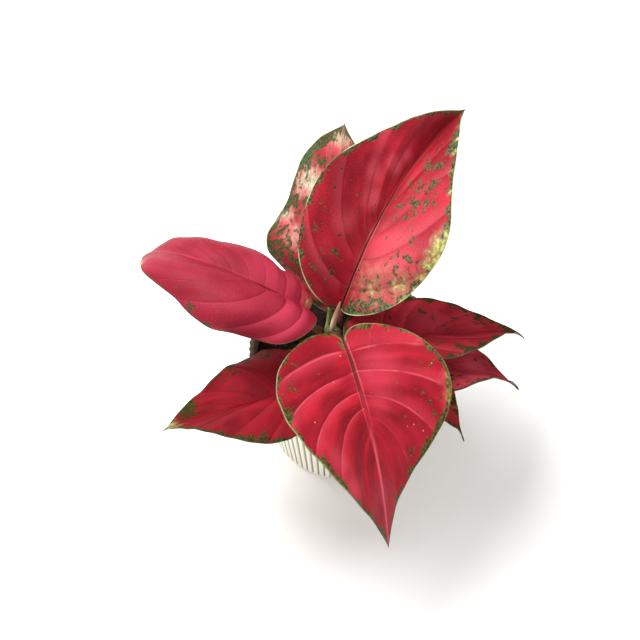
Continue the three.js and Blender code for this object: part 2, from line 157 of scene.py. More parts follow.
# The relief of the blade, as heights and widths in mm and shares of the length.
BULGE_SPREAD = (0.7, 1.25)
BULGE_POWER = 0.8
BULGE_FLAT_MIDDLE, BULGE_FLAT_MARGIN = 5.0, 5
BULGE_START, BULGE_END = (0.02, 0.12), (0.8, 0.98)
CALM_SPAN, CALM_SHARE = 0.2, 0.85
VEIN_GROOVE, VEIN_GROOVE_WIDTH = 0.3, 0.8
UNEVEN_WAVES, UNEVEN_HEIGHT, UNEVEN_LENGTH = 5, 0.28, 14
RIPPLES, RIPPLE_HEIGHT, RIPPLE_POWER = 9, 0.35, 6
LEVEL_FULLNESS = 0.4  # where the blade is narrower than this share it is less uneven
THICKNESS_MIDDLE, THICKNESS_MARGIN = 0.8, 0.5
CREASE_ROUND, CREASE_WIDTH = 1.0, 1.5
CHANNEL_DEPTH, CHANNEL_WIDTH, CHANNEL_START, CHANNEL_END = 0.75, 0.8, (0, 0.03), (0.45, 0.75)
CHANNEL_LEFT = 0.1  # the share of the channel that goes on to the tip
BANK_HEIGHT, BANK_PLACE = 0.3, 1.9  # the blade rises beside the channel
CREST_HEIGHT, CREST_WIDTH, CREST_START, CREST_END = 0.45, 1.1, (0.5, 0.8), (0.93, 1.0)
KEEL_WIDTH, KEEL_END, KEEL_LOSS = 1.5, (0.86, 1), 0.6
KEEL_SLIM = ((0, 0.04, 1), (0.5, 1, 0.5))
UNDER_VEIN, UNDER_VEIN_WIDTH = 0.35, 0.9


def rad(degrees):
    return np.radians(degrees)


def smooth(value, low, high):
    """0 below low, 1 above high, and a smooth step between."""
    x = np.clip((np.asarray(value, float) - low) / (high - low), 0, 1)
    return x * x * (3 - 2 * x)


def bell(value, width):
    """1 at nought, and less than half of that further off than width."""
    return np.exp(-((value / width) ** 2))


def midrib_direction(leaf, along, hook=(0, 0)):
    share = np.clip(along / leaf.length, 0, MIDRIB_OVERRUN)
    bent = np.clip((share - HOOK_START) / (1 - HOOK_START), 0, None) ** HOOK_GROWTH
    heading = rad(leaf.heading + leaf.sway * share + hook[1] * bent)
    slope = rad(leaf.rise + (leaf.droop - leaf.rise) * share**DROOP_GROWTH - hook[0] * bent)
    tangent = np.stack(
        [np.cos(slope) * np.cos(heading), np.cos(slope) * np.sin(heading), np.sin(slope)], -1)
    return heading, tangent


def midrib_points(leaf, along, hook=(0, 0)):
    """Points of the midrib: the direction summed up from the base."""
    steps = np.linspace(0, leaf.length * MIDRIB_OVERRUN, MIDRIB_STEPS)
    middles = (steps[1:] + steps[:-1]) / 2
    _, tangents = midrib_direction(leaf, middles, hook)
    line = np.vstack([[0, 0, 0], np.cumsum(tangents * np.diff(steps)[:, None], 0)])
    points = np.stack([np.interp(along, steps, line[:, k]) for k in range(3)], -1)
    _, first = midrib_direction(leaf, np.zeros(1), hook)
    return points + np.minimum(along, 0)[..., None] * first[0] + np.array(leaf.at, float)


def blade_points(leaf, along, across, lift, hook=(0, 0)):
    """Bends the flat blade into its place. lift stands off the blade on its upper side."""
    heading, tangent = midrib_direction(leaf, along, hook)
    level = np.stack([-np.sin(heading), np.cos(heading), 0 * heading], -1)
    share = np.clip(along / leaf.length, 0, 1)
    roll = rad(leaf.roll + leaf.twist * share)[..., None]
    side = level * np.cos(roll) + np.cross(tangent, level) * np.sin(roll)
    up = np.cross(tangent, side)
    half, curl = leaf.width / 2, rad(leaf.curl)
    fold = rad(leaf.fold) * (1 - leaf.get("flatten", 0) * share**FLATTEN_GROWTH)
    out = np.abs(across)
    soft = np.sqrt(out**2 + CREASE_ROUND**2)
    angle = fold + curl * out / half
    soft_angle = fold + curl * soft / half
    lean = fold * (1 - bell(out, CREASE_WIDTH)) + curl * out / half
    outward = half / curl * (np.sin(angle) - np.sin(fold)) - np.sin(lean) * lift
    upward = -half / curl * (np.cos(soft_angle) - np.cos(fold)) + np.cos(lean) * lift
    return (midrib_points(leaf, along, hook)
            + side * (np.sign(across) * outward)[..., None] + up * upward[..., None])


def margin_distance(along, across):
    """How far each point of a half blade is from its margin, which is the last column."""
    rim = np.stack([along[:, -1], across[:, -1]], -1)
    here = np.stack([along, across], -1)
    nearest = np.full(along.shape, np.inf)
    for a, b in zip(rim[:-1], rim[1:]):
        d = b - a
        t = np.clip(((here - a) @ d) / max(d @ d, 1e-9), 0, 1)
        nearest = np.minimum(nearest, np.linalg.norm(here - a - t[..., None] * d, axis=-1))
    return nearest


def vein_numbers(leaf, form, random, square, share, across, out):
    """The number of the lateral vein that runs through each point, with a fraction between veins."""
    start = 1 - (1 - share) ** (1 / VEIN_RUN)
    vein = start * form.veins + form.start + random.uniform(-VEIN_SHIFT, VEIN_SHIFT)
    jitter = random.uniform(-VEIN_JITTER, VEIN_JITTER, MOST_VEINS)
    vein = vein + np.interp(vein, np.arange(MOST_VEINS), jitter)
    fan = form.fan * (across / (leaf.width / 2)) ** FAN_POWER
    vein = vein - fan * bell(vein, FAN_VEINS)
    return vein + square * 4 * out * (1 - out) * smooth(share, *SQUARE_SPAN)


def relief(leaf, form, random, sign, share, fullness, half):
    """The blade bulges between its lateral veins, and lies a little unevenly as a whole."""
    along, across, out = half.along, half.across, half.out
    near = np.abs(half.vein - np.round(half.vein))
    size = np.interp(half.vein, np.arange(MOST_VEINS), random.uniform(*BULGE_SPREAD, MOST_VEINS))
    settle = (1 - np.exp(-across / BULGE_FLAT_MIDDLE)) * (1 - out**BULGE_FLAT_MARGIN)
    settle = settle * smooth(share, *BULGE_START) * (1 - smooth(share, *BULGE_END))
    settle = settle * (1 - CALM_SHARE * smooth(share, form.calm, form.calm + CALM_SPAN))
    bulge = form.bulge * size * settle * ((2 * near) ** BULGE_POWER - 0.5)
    spacing = leaf.length / form.veins
    groove = VEIN_GROOVE * settle * bell(near * spacing, VEIN_GROOVE_WIDTH)
    uneven = np.zeros(along.shape)
    for _ in range(UNEVEN_WAVES):
        k = random.normal(size=2) / UNEVEN_LENGTH
        phase = random.uniform(*ANY_PHASE)
        uneven += UNEVEN_HEIGHT * np.sin(along * k[0] + sign * across * k[1] + phase)
    ripple = np.sin(share * FULL_TURN * RIPPLES + random.uniform(*ANY_PHASE)) * out**RIPPLE_POWER
    uneven = uneven + RIPPLE_HEIGHT * ripple
    return bulge - groove + uneven * smooth(fullness, 0, LEVEL_FULLNESS)


def half_blade(leaf, form, random, number):
    """One half of the flat blade, 0 for the left one and 1 for the right, on a grid whose rows
    follow the lateral veins, with what the mesh and the materials need at each point."""
    sign, phase, square = (1, -1)[number], leaf.phases[number], form.square[number]
    row = np.linspace(0, 1, LEAF_ROWS + 1)[:, None]
    share = (1 - (1 - row) ** ROW_TIP_CROWDING) ** ROW_BASE_CROWDING
    share[-1] = 1.0
    start = leaf.length * (1 - (1 - share) ** (1 / VEIN_RUN))
    root = np.sqrt(share)
    end = leaf.length * share - leaf.lobe * 4 * root * (1 - root)
    exponent = math.log(0.5) / math.log(leaf.widest)
    fullness = np.maximum(0, np.sin(np.pi * share**exponent)) ** MARGIN_FULLNESS
    fullness[0] = fullness[-1] = 0
    wave = leaf.wave * np.sin(FULL_TURN * leaf.waves * share + phase) * np.sqrt(fullness)
    reach = np.maximum(leaf.width / 2 * fullness + wave / 2, 0)
    reach = reach * (1 - form.taper * smooth(share, *TAPER_SPAN))
    reach[0] = reach[-1] = 0

    out = np.append(np.linspace(0, 1, LEAF_COLUMNS) ** COLUMN_CROWDING * RIM_COLUMN, 1.0)
    arch = (1 - VEIN_ARCH) * out + VEIN_ARCH * out**VEIN_ARCH_POWER
    half = Values(along=start + (end - start) * arch, across=reach * out)
    half.out = np.repeat(out[None], LEAF_ROWS + 1, 0)
    half.share = np.repeat(share, out.size, 1)
    half.edge = margin_distance(half.along, half.across)
    half.vein = vein_numbers(leaf, form, random, square, share, half.across, out)
    half.lift = wave * out**WAVE_REACH + relief(leaf, form, random, sign, share, fullness, half)
    half.across = sign * half.across
    return half


def blade_grid(leaf, form):
    """Both halves as one grid, from the right margin over the midrib to the left one."""
    random = np.random.default_rng(form.seed)
    left, right = (half_blade(leaf, form, random, number) for number in (0, 1))
    grid = Values({key: np.concatenate([right[key][:, ::-1], left[key][:, 1:]], 1) for key in left})
    for key in ("lift", "edge", "vein"):
        grid[key][:, LEAF_COLUMNS] = (left[key][:, 0] + right[key][:, 0]) / 2
    return grid


def blade_surfaces(leaf, form, grid):
    """The upper and the lower surface of the blade, with its midrib and veins."""
    share, distance = grid.share, np.abs(grid.across)
    thick = THICKNESS_MIDDLE + (THICKNESS_MARGIN - THICKNESS_MIDDLE) * grid.out ** 2
    channel = CHANNEL_DEPTH * bell(distance, CHANNEL_WIDTH)
    channel = channel - BANK_HEIGHT * bell(distance - BANK_PLACE, CHANNEL_WIDTH)
    channel = channel * (1 - (1 - CHANNEL_LEFT) * smooth(share, *CHANNEL_END))
    channel = channel * smooth(share, *CHANNEL_START)
    crest = CREST_HEIGHT * bell(distance, CREST_WIDTH) * smooth(share, *CREST_START)
    crest = crest * (1 - smooth(share, *CREST_END))
    top = grid.lift + thick / 2 - channel + crest

    keel = MIDRIB_DEPTH + (MIDRIB_TIP_DEPTH - MIDRIB_DEPTH) * share - CLEARANCE
    keel = keel * (1 - KEEL_LOSS * smooth(share, *KEEL_END))
    keel = keel * bell(distance, KEEL_WIDTH * np.interp(share, *KEEL_SLIM))
    near = np.abs(grid.vein - np.round(grid.vein)) * leaf.length / form.veins
    under_vein = UNDER_VEIN * bell(near, UNDER_VEIN_WIDTH) * (1 - grid.out ** 2)
    bottom = grid.lift - thick / 2 - keel - under_vein
    return [blade_points(leaf, grid.along, grid.across, lift, form.hook) for lift in (top, bottom)]


def grid_faces(index, flip):
    """Quads and triangles of a grid of vertex numbers, leaving out faces with no area."""
    faces = []
    rows, columns = index.shape
    for i in range(rows - 1):
        for j in range(columns - 1):
            ring = [index[i, j], index[i + 1, j], index[i + 1, j + 1], index[i, j + 1]]
            ring = [v for k, v in enumerate(ring) if v != ring[k - 1]]
            if len(ring) > 2:
                faces.append(ring[::-1] if flip else ring)
    return faces


def skin(above, below):
    """Faces of the upper and lower side of a sheet, and of its two long edges."""
    sides = [np.stack([above[:, k], below[:, k]], 1) for k in (0, -1)]
    return (grid_faces(above, True), grid_faces(below, False),
            grid_faces(sides[0], True) + grid_faces(sides[1], False))


def build_blade(leaf, form):
    """Vertices in metres, faces, a material number for each face, and the attributes."""
    grid = blade_grid(leaf, form)
    shape = grid.share.shape
    number = np.arange(grid.share.size).reshape(shape)
    for end in (0, -1):  # base and tip are single points
        number[end, :] = number[end, 0]
    kept, index = np.unique(number, return_inverse=True)
    index = index.reshape(shape)
    upper, lower, rims = skin(index, index + len(kept))
    slots = [0] * len(upper) + [1] * len(lower) + [0] * len(rims)

    seed = np.full(shape, seed_place(form))
    values = {
        "place": np.stack([grid.along, grid.across, seed], -1).reshape(-1, 3),
        "rib": np.stack([grid.vein, grid.out, np.abs(grid.across)], -1).reshape(-1, 3),
        "edge": grid.edge.ravel(),
        "share": grid.share.ravel(),
    }
    values = {key: np.concatenate([value[kept], value[kept]]) for key, value in values.items()}
    surfaces = blade_surfaces(leaf, form, grid)
    vertices = np.concatenate([surface.reshape(-1, 3)[kept] for surface in surfaces])
    return vertices * MM, upper + lower + rims, slots, values


def seed_place(form):
    """A third coordinate that sets the patterns of the leaves apart."""
    return form.seed * 100.0


# ---------------------------------------------------------------- petioles
PETIOLE_FOOT_RADIUS = 3.1
PETIOLE_TOP_RADIUS = 2.1
PETIOLE_NARROWING = 1.4  # the stalk is at its narrowest before its end
PETIOLE_SINK = 5.0  # how far it reaches into the midrib
PETIOLE_END = 0.3  # the share of its radius that is left there
PETIOLE_RINGS, PETIOLE_SUNK_RINGS = 54, 6
PETIOLE_SIDES = 24
STALK_CHANNEL, STALK_CHANNEL_WIDTH = 0.28, 0.5
STALK_TURN = 3  # the length of its pattern round the stalk, for each radian
SHEATH_SPREAD = 62.0  # half the angle that the sheath at the foot wraps round the stem
SHEATH_START, SHEATH_RISE = 0.05, 0.45  # it has closed to a round stalk by this share of the length
SHEATH_DEPTH = 1.3  # half its thickness in the middle
SHEATH_OFFSET = 1.6
SHEATH_EDGE = 0.4  # its thickness at the edges, as a share
SHEATH_DROP, SHEATH_SAG = 5.0, 1.5


def bezier(a, b, c, d, t):
    t = t[:, None]
    return a * (1 - t) ** 3 + 3 * b * t * (1 - t) ** 2 + 3 * c * t**2 * (1 - t) + d * t**3


def unit(v):
    return v / np.maximum(np.linalg.norm(v, axis=-1, keepdims=True), 1e-9)


def petiole_line(leaf, away):
    """The middle line of a petiole, from the stem to just inside the midrib."""
    outward, upward, approach = leaf.lean
    foot = np.array([STEM_X, STEM_Y, leaf.foot[1]], float)
    foot = foot + away * (STEM_RADIUS + CLEARANCE + PETIOLE_FOOT_RADIUS - SHEATH_DEPTH)
    shoulder = foot + away * outward + np.array([0, 0, upward])
    core = -(MIDRIB_DEPTH + 1.0) / 2
    ends = np.array([0.0, PETIOLE_SINK])
    top, inside = blade_points(Values(leaf, fold=0), ends, np.zeros(2), np.full(2, core))
    _, tangent = midrib_direction(leaf, np.zeros(1))
    below = top - tangent[0] * approach * 0.5 - np.array([0, 0, approach * 0.8])
    sunk = np.linspace(0, 1, PETIOLE_SUNK_RINGS + 1)[1:, None]
    line = bezier(foot, shoulder, below, top, np.linspace(0, 1, PETIOLE_RINGS))
    return np.vstack([line, top + (inside - top) * sunk])


def build_petiole(leaf, form):
    """A round stalk with a channel towards the stem. Its foot opens to a sheath that clasps it."""
    angle = rad(leaf.foot[0])
    away = np.array([math.cos(angle), math.sin(angle), 0.0])
    line = petiole_line(leaf, away)
    length = np.append(0, np.cumsum(np.linalg.norm(np.diff(line, axis=0), axis=1)))
    share = length / length[-1]
    forward = unit(np.gradient(line, axis=0))
    inner = unit(-away - forward * (forward @ -away)[:, None])
    cross = np.cross(forward, inner)

    around = np.linspace(0, FULL_TURN, PETIOLE_SIDES, endpoint=False)
    narrowing = np.clip(PETIOLE_NARROWING * share, 0, 1)
    radius = PETIOLE_FOOT_RADIUS + (PETIOLE_TOP_RADIUS - PETIOLE_FOOT_RADIUS) * narrowing
    radius[-1] *= PETIOLE_END
    channel = STALK_CHANNEL * bell(np.minimum(around, FULL_TURN - around), STALK_CHANNEL_WIDTH)
    radius = radius[:, None] * (1 - channel)
    stalk = (line[:, None] + (radius * np.cos(around))[..., None] * inner[:, None]
             + (radius * np.sin(around))[..., None] * cross[:, None])

    # The sheath is a curved strip that wraps the stem, thin at its edges.
    closing = smooth(share, SHEATH_START, SHEATH_RISE)[:, None]
    swing = rad(SHEATH_SPREAD) * np.sin(around)
    depth = SHEATH_DEPTH * np.cos(around) * (SHEATH_EDGE + (1 - SHEATH_EDGE) * np.abs(np.cos(swing)))
    reach = np.maximum(STEM_RADIUS + CLEARANCE + SHEATH_OFFSET - depth, STEM_RADIUS + CLEARANCE)
    low = line[:, 2:] - (SHEATH_DROP + SHEATH_SAG * np.abs(np.sin(around))) * (1 - closing)
    wrap = np.stack(np.broadcast_arrays(
        STEM_X + reach * np.cos(angle - swing), STEM_Y + reach * np.sin(angle - swing), low), -1)
    rings = stalk * closing[..., None] + wrap * (1 - closing[..., None])

    vertices, faces = capped(rings, rings[0].mean(0), rings[-1].mean(0), True)
    along = np.append(np.repeat(length, PETIOLE_SIDES), [0, length[-1]])
    turned = np.append(np.tile(around, len(rings)), [0, 0]) * STALK_TURN
    seed = np.full(len(vertices), seed_place(form))
    values = {"place": np.stack([along, turned, seed], -1), "share": along / length[-1]}
    return vertices * MM, faces, [2] * len(faces), values


# ---------------------------------------------------------------- objects from meshes
def capped(rings, foot, top, flip=False):
    """Vertices and faces of a closed solid from rings of points and the middle of each end."""
    rows, sides = rings.shape[:2]
    index = np.arange(rows * sides).reshape(rows, sides)
    foot_number, top_number = rows * sides, rows * sides + 1
    steps = [(j, (j + 1) % sides) for j in range(sides)]
    faces = []
    for low, high in zip(index[:-1], index[1:]):
        faces += [[low[j], low[k], high[k], high[j]] for j, k in steps]
    for j, k in steps:
        faces.append([foot_number, index[0, k], index[0, j]])
        faces.append([top_number, index[-1, j], index[-1, k]])
    if flip:
        faces = [face[:1] + face[:0:-1] for face in faces]
    return np.vstack([rings.reshape(-1, 3), [foot, top]]), faces


def make_object(name, vertices, faces, slots=None, values=None, materials=()):
    mesh = bpy.data.meshes.new(name)
    mesh.from_pydata([tuple(v) for v in vertices], [], [tuple(int(i) for i in f) for f in faces])
    mesh.update()
    if slots is not None:
        mesh.polygons.foreach_set("material_index", np.array(slots, np.int32))
    mesh.polygons.foreach_set("use_smooth", np.full(len(mesh.polygons), True))
    for key, value in (values or {}).items():
        value = np.asarray(value, np.float32)
        kind, field = ("FLOAT_VECTOR", "vector") if value.ndim == 2 else ("FLOAT", "value")
        mesh.attributes.new(key, kind, "POINT").data.foreach_set(field, value.ravel())
    for material in materials:
        mesh.materials.append(material)
    thing = bpy.data.objects.new(name, mesh)
    bpy.context.scene.collection.objects.link(thing)
    return thing


def joined(parts):
    """Several (vertices, faces, slots, values) as one. A value that a part lacks is nought there."""
    faces, slots, count = [], [], 0
    for vertices, part_faces, part_slots, _ in parts:
        faces += [[i + count for i in face] for face in part_faces]
        slots += list(part_slots)
        count += len(vertices)
    values = {}
    for key, first in parts[0][3].items():
        values[key] = np.concatenate(
            [found.get(key, np.zeros((len(v),) + first.shape[1:])) for v, _, _, found in parts])
    return np.concatenate([part[0] for part in parts]), faces, slots, values


def mend_normals(thing):
    mesh = bmesh.new()
    mesh.from_mesh(thing.data)
    bmesh.ops.recalc_face_normals(mesh, faces=mesh.faces)
    mesh.to_mesh(thing.data)
    mesh.free()


def apply_modifiers(thing):
    graph = bpy.context.evaluated_depsgraph_get()
    mesh = bpy.data.meshes.new_from_object(thing.evaluated_get(graph))
    thing.modifiers.clear()
    old = thing.data
    thing.data = mesh
    bpy.data.meshes.remove(old)


# ---------------------------------------------------------------- zones on the leaves
# Where each leaf is mottled green and pale, and where it is pinker or darker: (along, across,
# radius, strength). Some pink and pale zones are painted light and some dark zones painted shadows
# of the leaves above, as said at each leaf. along is in per cent of the leaf's length, across in per
# cent of its half width, positive to the left of the way it points, and the radius in mm. At 20 per
# cent a zone is thinly dotted, at 50 half covered and at 100 nearly full.
ZONES = {
    # Its dark zone at the base (2, -35) is a painted shadow of leaf_left, and its pink zones at (52, -55)
    # and (65, -48) are painted highlights along a lateral vein.
    "leaf_front": dict(
        green=[(2, -75, 12, 26), (15, -85, 12, 34), (27, -93, 8, 75), (50, -80, 9, 50), (0, 35, 12, 22),
               (20, 93, 8, 45), (40, 95, 10, 75), (38, 72, 12, 38), (60, 62, 12, 48), (96, -3, 4, 70)],
        pale=[(6, 80, 5, 45), (28, 100, 7, 60), (36, 100, 7, 75), (44, 97, 6, 60), (30, -98, 6, 60)],
        pink=[(15, 25, 16, 90), (52, -55, 9, 100), (65, -48, 7, 100), (30, 20, 10, 70), (74, 0, 9, 60)],
        dark=[(2, -35, 18, 80), (10, 90, 8, 50), (46, -30, 9, 60), (85, -20, 9, 70)]),
    # Its dark zone at (12, 50) is a painted shadow.
    "leaf_back_right": dict(
        green=[(35, 65, 36, 24), (15, 50, 22, 30), (10, 80, 14, 30), (65, -30, 14, 50), (53, -40, 15, 55),
               (46, -35, 15, 52), (24, -60, 19, 50), (10, -35, 19, 52), (0, -30, 14, 95),
               (5, -60, 13, 85), (82, -33, 8, 80), (75, -46, 9, 95), (68, -62, 9, 85), (60, -75, 8, 60)],
        pale=[(50, -100, 7, 60), (43, -100, 8, 75), (36, -100, 9, 95), (30, -100, 9, 95),
              (24, -97, 8, 85), (18, -92, 7, 80), (12, -82, 7, 70), (14, -35, 18, 45), (18, -68, 10, 62),
              (98, -2, 5, 60), (87, -26, 4, 80), (80, -37, 4, 85), (74, -46, 4, 80), (67, -56, 4, 65),
              (59, -69, 4, 70)],
        pink=[(64, 18, 8, 100), (58, 24, 8, 100), (42, 28, 8, 90), (30, 45, 9, 70), (50, 42, 8, 70),
              (25, -40, 28, 80)],
        dark=[(72, 30, 18, 80), (12, 50, 14, 60), (45, 75, 12, 50), (86, -15, 24, 100),
              (70, -30, 17, 70)]),
    # Its pale zone at the tip (100, 0) is a painted highlight.
    "leaf_left": dict(
        green=[(33, 97, 8, 70), (44, 85, 8, 55), (52, 70, 5, 70), (0, -10, 9, 40)],
        pale=[(30, 100, 6, 50), (0, -15, 7, 70), (76, 36, 5, 100), (100, 0, 4, 90)],
        pink=[(17, -30, 24, 100), (10, 50, 14, 80), (60, 30, 14, 40)],
        dark=[(45, 50, 18, 50), (75, 40, 12, 40)]),
    # Its pink zone at (25, -60) is painted light, lifting the shade that falls on its base.
    "leaf_front_left": dict(
        green=[(30, -80, 13, 50), (52, -60, 13, 50), (80, -20, 10, 100), (45, 90, 10, 62),
               (60, 60, 8, 50), (30, 90, 10, 60), (62, -10, 13, 36), (30, 10, 22, 20)],
        pale=[(95, 2, 8, 100), (87, 10, 5, 70)],
        pink=[(46, -38, 14, 90), (24, 65, 9, 70), (25, -60, 24, 90)],
        dark=[(60, 30, 18, 40), (31, 60, 11, 60)]),
    "leaf_right": dict(
        green=[(15, 35, 16, 34), (38, 50, 16, 26), (50, 20, 18, 38), (70, 36, 13, 60), (82, 3, 9, 50),
               (42, -85, 11, 62), (34, -40, 14, 38)],
        pale=[(37, -98, 4, 60)],
        pink=[(36, 30, 18, 90), (63, 20, 14, 80)],
        dark=[(12, 34, 14, 50), (30, -60, 22, 100), (55, -40, 18, 100), (75, -10, 12, 80)]),
    "leaf_right_lower": dict(
        green=[(70, 33, 12, 50), (40, 60, 14, 40), (40, -60, 14, 40)],
        pale=[],
        pink=[(60, 10, 12, 90)],
        dark=[(30, 20, 16, 80)]),
    "leaf_right_lowest": dict(
        green=[(73, 25, 9, 70), (40, -50, 14, 42), (30, 60, 14, 42)],
        pale=[(74, 24, 4, 60)],
        pink=[(70, 0, 9, 80)],
        dark=[(30, 20, 14, 80)]),
    # Its pale zones are in part its own cream and in part painted highlights on its folds.
    "leaf_back_left": dict(
        green=[(70, 50, 20, 60), (50, 65, 18, 50), (28, 80, 22, 56), (90, 10, 12, 60), (40, -50, 24, 50),
               (65, -40, 18, 50)],
        pale=[(60, 40, 12, 75), (85, 0, 10, 70), (46, 85, 10, 66), (35, 60, 11, 50), (45, -50, 20, 50)],
        pink=[(79, 14, 9, 80), (62, 30, 9, 80), (40, 60, 16, 90)],
        dark=[(20, 20, 14, 80)]),
}

# Colours as they look in daylight, red, green and blue of 255. The blade goes from deep to
# bright, with pink in its pink zones (in part painted light) and blush round its pale ones; shoulder
# is a painted highlight beside the midrib, and rim is the light line along the margin. Blotches mix
# green and green_dark, cream patches pale and pale_green, and the petiole stalk and stalk_light, with
# stalk_top near the blade. Then the widths in mm of the green margin, to the left and right of the way
# the leaf points, and of the line of it that is always there. ragged is how frayed the green is, and
# specks how much more of it there is. bare is the row from which the veins are lost and groove the one
# where the midrib's channel ends, as shares of the length. The others are shares: how far the pink
# zones (tint), fine lines, veins, blush (wash), light rim, dark tip, the midrib near the tip painted in
# the vein colour, a painted highlight where that is pale (crest), painted shading between the veins
# (panel) and pale specks (dust) show, and how glossy it is.
CRIMSON = dict(deep=(128, 14, 28), bright=(186, 26, 44), pink=(216, 70, 92), green=(66, 82, 44),
               green_dark=(36, 44, 22), pale=(206, 198, 134), pale_green=(128, 136, 62),
               blush=(214, 104, 96), vein=(226, 96, 110), midrib=(84, 34, 22), rim=(206, 200, 150),
               line=0.7, tint=0.5, lines=0.22, gloss=0.12, ragged=2.6, wash=0.3, bare=0.95, tip=0.0,
               crest=0.45, panel=0.3, groove=0.8, dust=0.0, specks=0.0, stalk=(128, 134, 78),
               stalk_light=(186, 176, 126), stalk_top=(196, 112, 100))
DIM = dict(CRIMSON, rim_light=0.12, veins=0.2, gloss=0.0, tip=0.9, crest=0.05, groove=0.6)
LOOKS = {
    # Its stalk is dark, darkest near the blade: painted shade, where it lies in the dark gap under the
    # leaves.
    "leaf_front": dict(
        CRIMSON, bright=(178, 27, 45), deep=(132, 15, 28), pink=(216, 68, 88), green=(86, 98, 38),
        pale=(176, 164, 92), pale_green=(118, 120, 48), stalk=(52, 34, 20), stalk_light=(86, 56, 34),
        stalk_top=(70, 22, 18), margin=(2.2, 1.9), rim_light=0.35, veins=0.5, specks=-0.03,
        lines=0.14, bare=0.86, tint=0.6, panel=0.35, crest=0.8, dust=0.6),
    "leaf_back_right": dict(
        CRIMSON, deep=(126, 14, 27), bright=(178, 32, 49), pink=(218, 84, 98), green=(84, 102, 64),
        pale=(214, 212, 132), pale_green=(140, 154, 72), blush=(156, 118, 92), vein=(116, 20, 28),
        midrib=(80, 46, 32), shoulder=(236, 150, 142), stalk=(60, 34, 22), stalk_light=(92, 52, 36),
        margin=(2.0, 2.4), rim_light=0.9, veins=0.4, wash=0.7, tint=0.8, panel=0.35, groove=1.1),
    "leaf_left": dict(
        CRIMSON, deep=(126, 20, 36), bright=(146, 28, 48), pink=(200, 64, 88), vein=(186, 58, 80),
        midrib=(74, 4, 14), stalk=(70, 66, 40), stalk_light=(104, 92, 60), margin=(0.5, 0.1),
        rim_light=0.15, panel=0.25, veins=0.2, specks=-0.1, line=0.1, bare=0.6, groove=0.75),
    # Its deep and bright are darker than the other leaves': painted shade from the leaves above it.
    "leaf_front_left": dict(
        CRIMSON, deep=(98, 10, 20), bright=(138, 16, 30), pink=(158, 36, 50), green=(50, 62, 20),
        green_dark=(26, 36, 12), vein=(108, 12, 22), pale=(178, 180, 126), pale_green=(112, 124, 60),
        blush=(150, 146, 92), midrib=(58, 6, 12), margin=(1.8, 1.4), rim_light=0.1, veins=0.15,
        lines=0.12, gloss=0.04, panel=0.2),
    # Its deep and bright are darker: painted shade from the leaf above it.
    "leaf_right": dict(
        DIM, deep=(118, 25, 34), bright=(160, 37, 50), pink=(180, 60, 74), green=(54, 56, 28),
        vein=(104, 18, 24), midrib=(86, 38, 24), margin=(4.6, 3.0)),
    "leaf_right_lower": dict(
        DIM, deep=(144, 42, 52), bright=(186, 60, 74), pink=(204, 86, 98), green=(58, 60, 30),
        vein=(146, 40, 50), midrib=(92, 42, 26), margin=(2.0, 1.5)),
    "leaf_right_lowest": dict(
        DIM, deep=(128, 32, 42), bright=(178, 48, 60), pink=(200, 76, 88), green=(58, 66, 30),
        vein=(140, 38, 48), midrib=(92, 42, 26), margin=(2.0, 1.5)),
    "leaf_back_left": dict(
        CRIMSON, deep=(134, 26, 36), bright=(168, 44, 54), pink=(206, 90, 98), green=(66, 92, 46),
        green_dark=(38, 54, 28), pale=(216, 210, 184), pale_green=(132, 146, 80),
        vein=(176, 124, 104), midrib=(124, 106, 58), blush=(216, 177, 160), stalk=(120, 150, 84),
        stalk_light=(170, 186, 120), stalk_top=(136, 162, 96), margin=(5.5, 5.0), rim_light=0.7,
        veins=0.4, specks=0.06, wash=0.5),
}


def zone_values(name, leaf, values):
    """How strongly the leaf is mottled green and pale, and how much pinker or darker it is (in part painted
    light and painted shadow), at the points of a blade.
    """
    along, across = values["place"][:, 0], values["place"][:, 1]
    found = {}
    for kind, zones in ZONES[name].items():
        found[kind] = np.zeros(along.shape)
        for at_along, at_across, radius, strength in zones:
            x, y = at_along / 100 * leaf.length, at_across / 100 * leaf.width / 2
            zone = strength / 100 * bell(np.hypot(along - x, across - y), radius)
            found[kind] = np.maximum(found[kind], zone)
    return {"green": found["green"], "pale": found["pale"], "tint": found["pink"] - found["dark"]}


# ---------------------------------------------------------------- materials
def linear(colour):
    """A colour of 255 as the light that it stands for."""
    c = np.array(colour, float) / 255
    return (*np.where(c <= 0.04045, c / 12.92, ((c + 0.055) / 1.055) ** 2.4), 1.0)


class Output:
    """A node's output, as a value to calculate with."""

    def __init__(self, nodes, socket):
        self.nodes, self.socket = nodes, socket

    def __add__(self, other):
        return self.nodes.math("ADD", self, other)

    def __sub__(self, other):
        return self.nodes.math("SUBTRACT", self, other)

    def __mul__(self, other):
        return self.nodes.math("MULTIPLY", self, other)

    def step(self, low, high, start=0.0, end=1.0):
        """Goes smoothly from start to end while the value goes from low to high."""
        inputs = (self, low, high, start, end)
        return self.nodes.make("ShaderNodeMapRange", inputs, interpolation_type="SMOOTHSTEP")

    def split(self):
        node = self.nodes.make("ShaderNodeSeparateXYZ", (self,)).socket.node
        return [Output(self.nodes, socket) for socket in node.outputs]


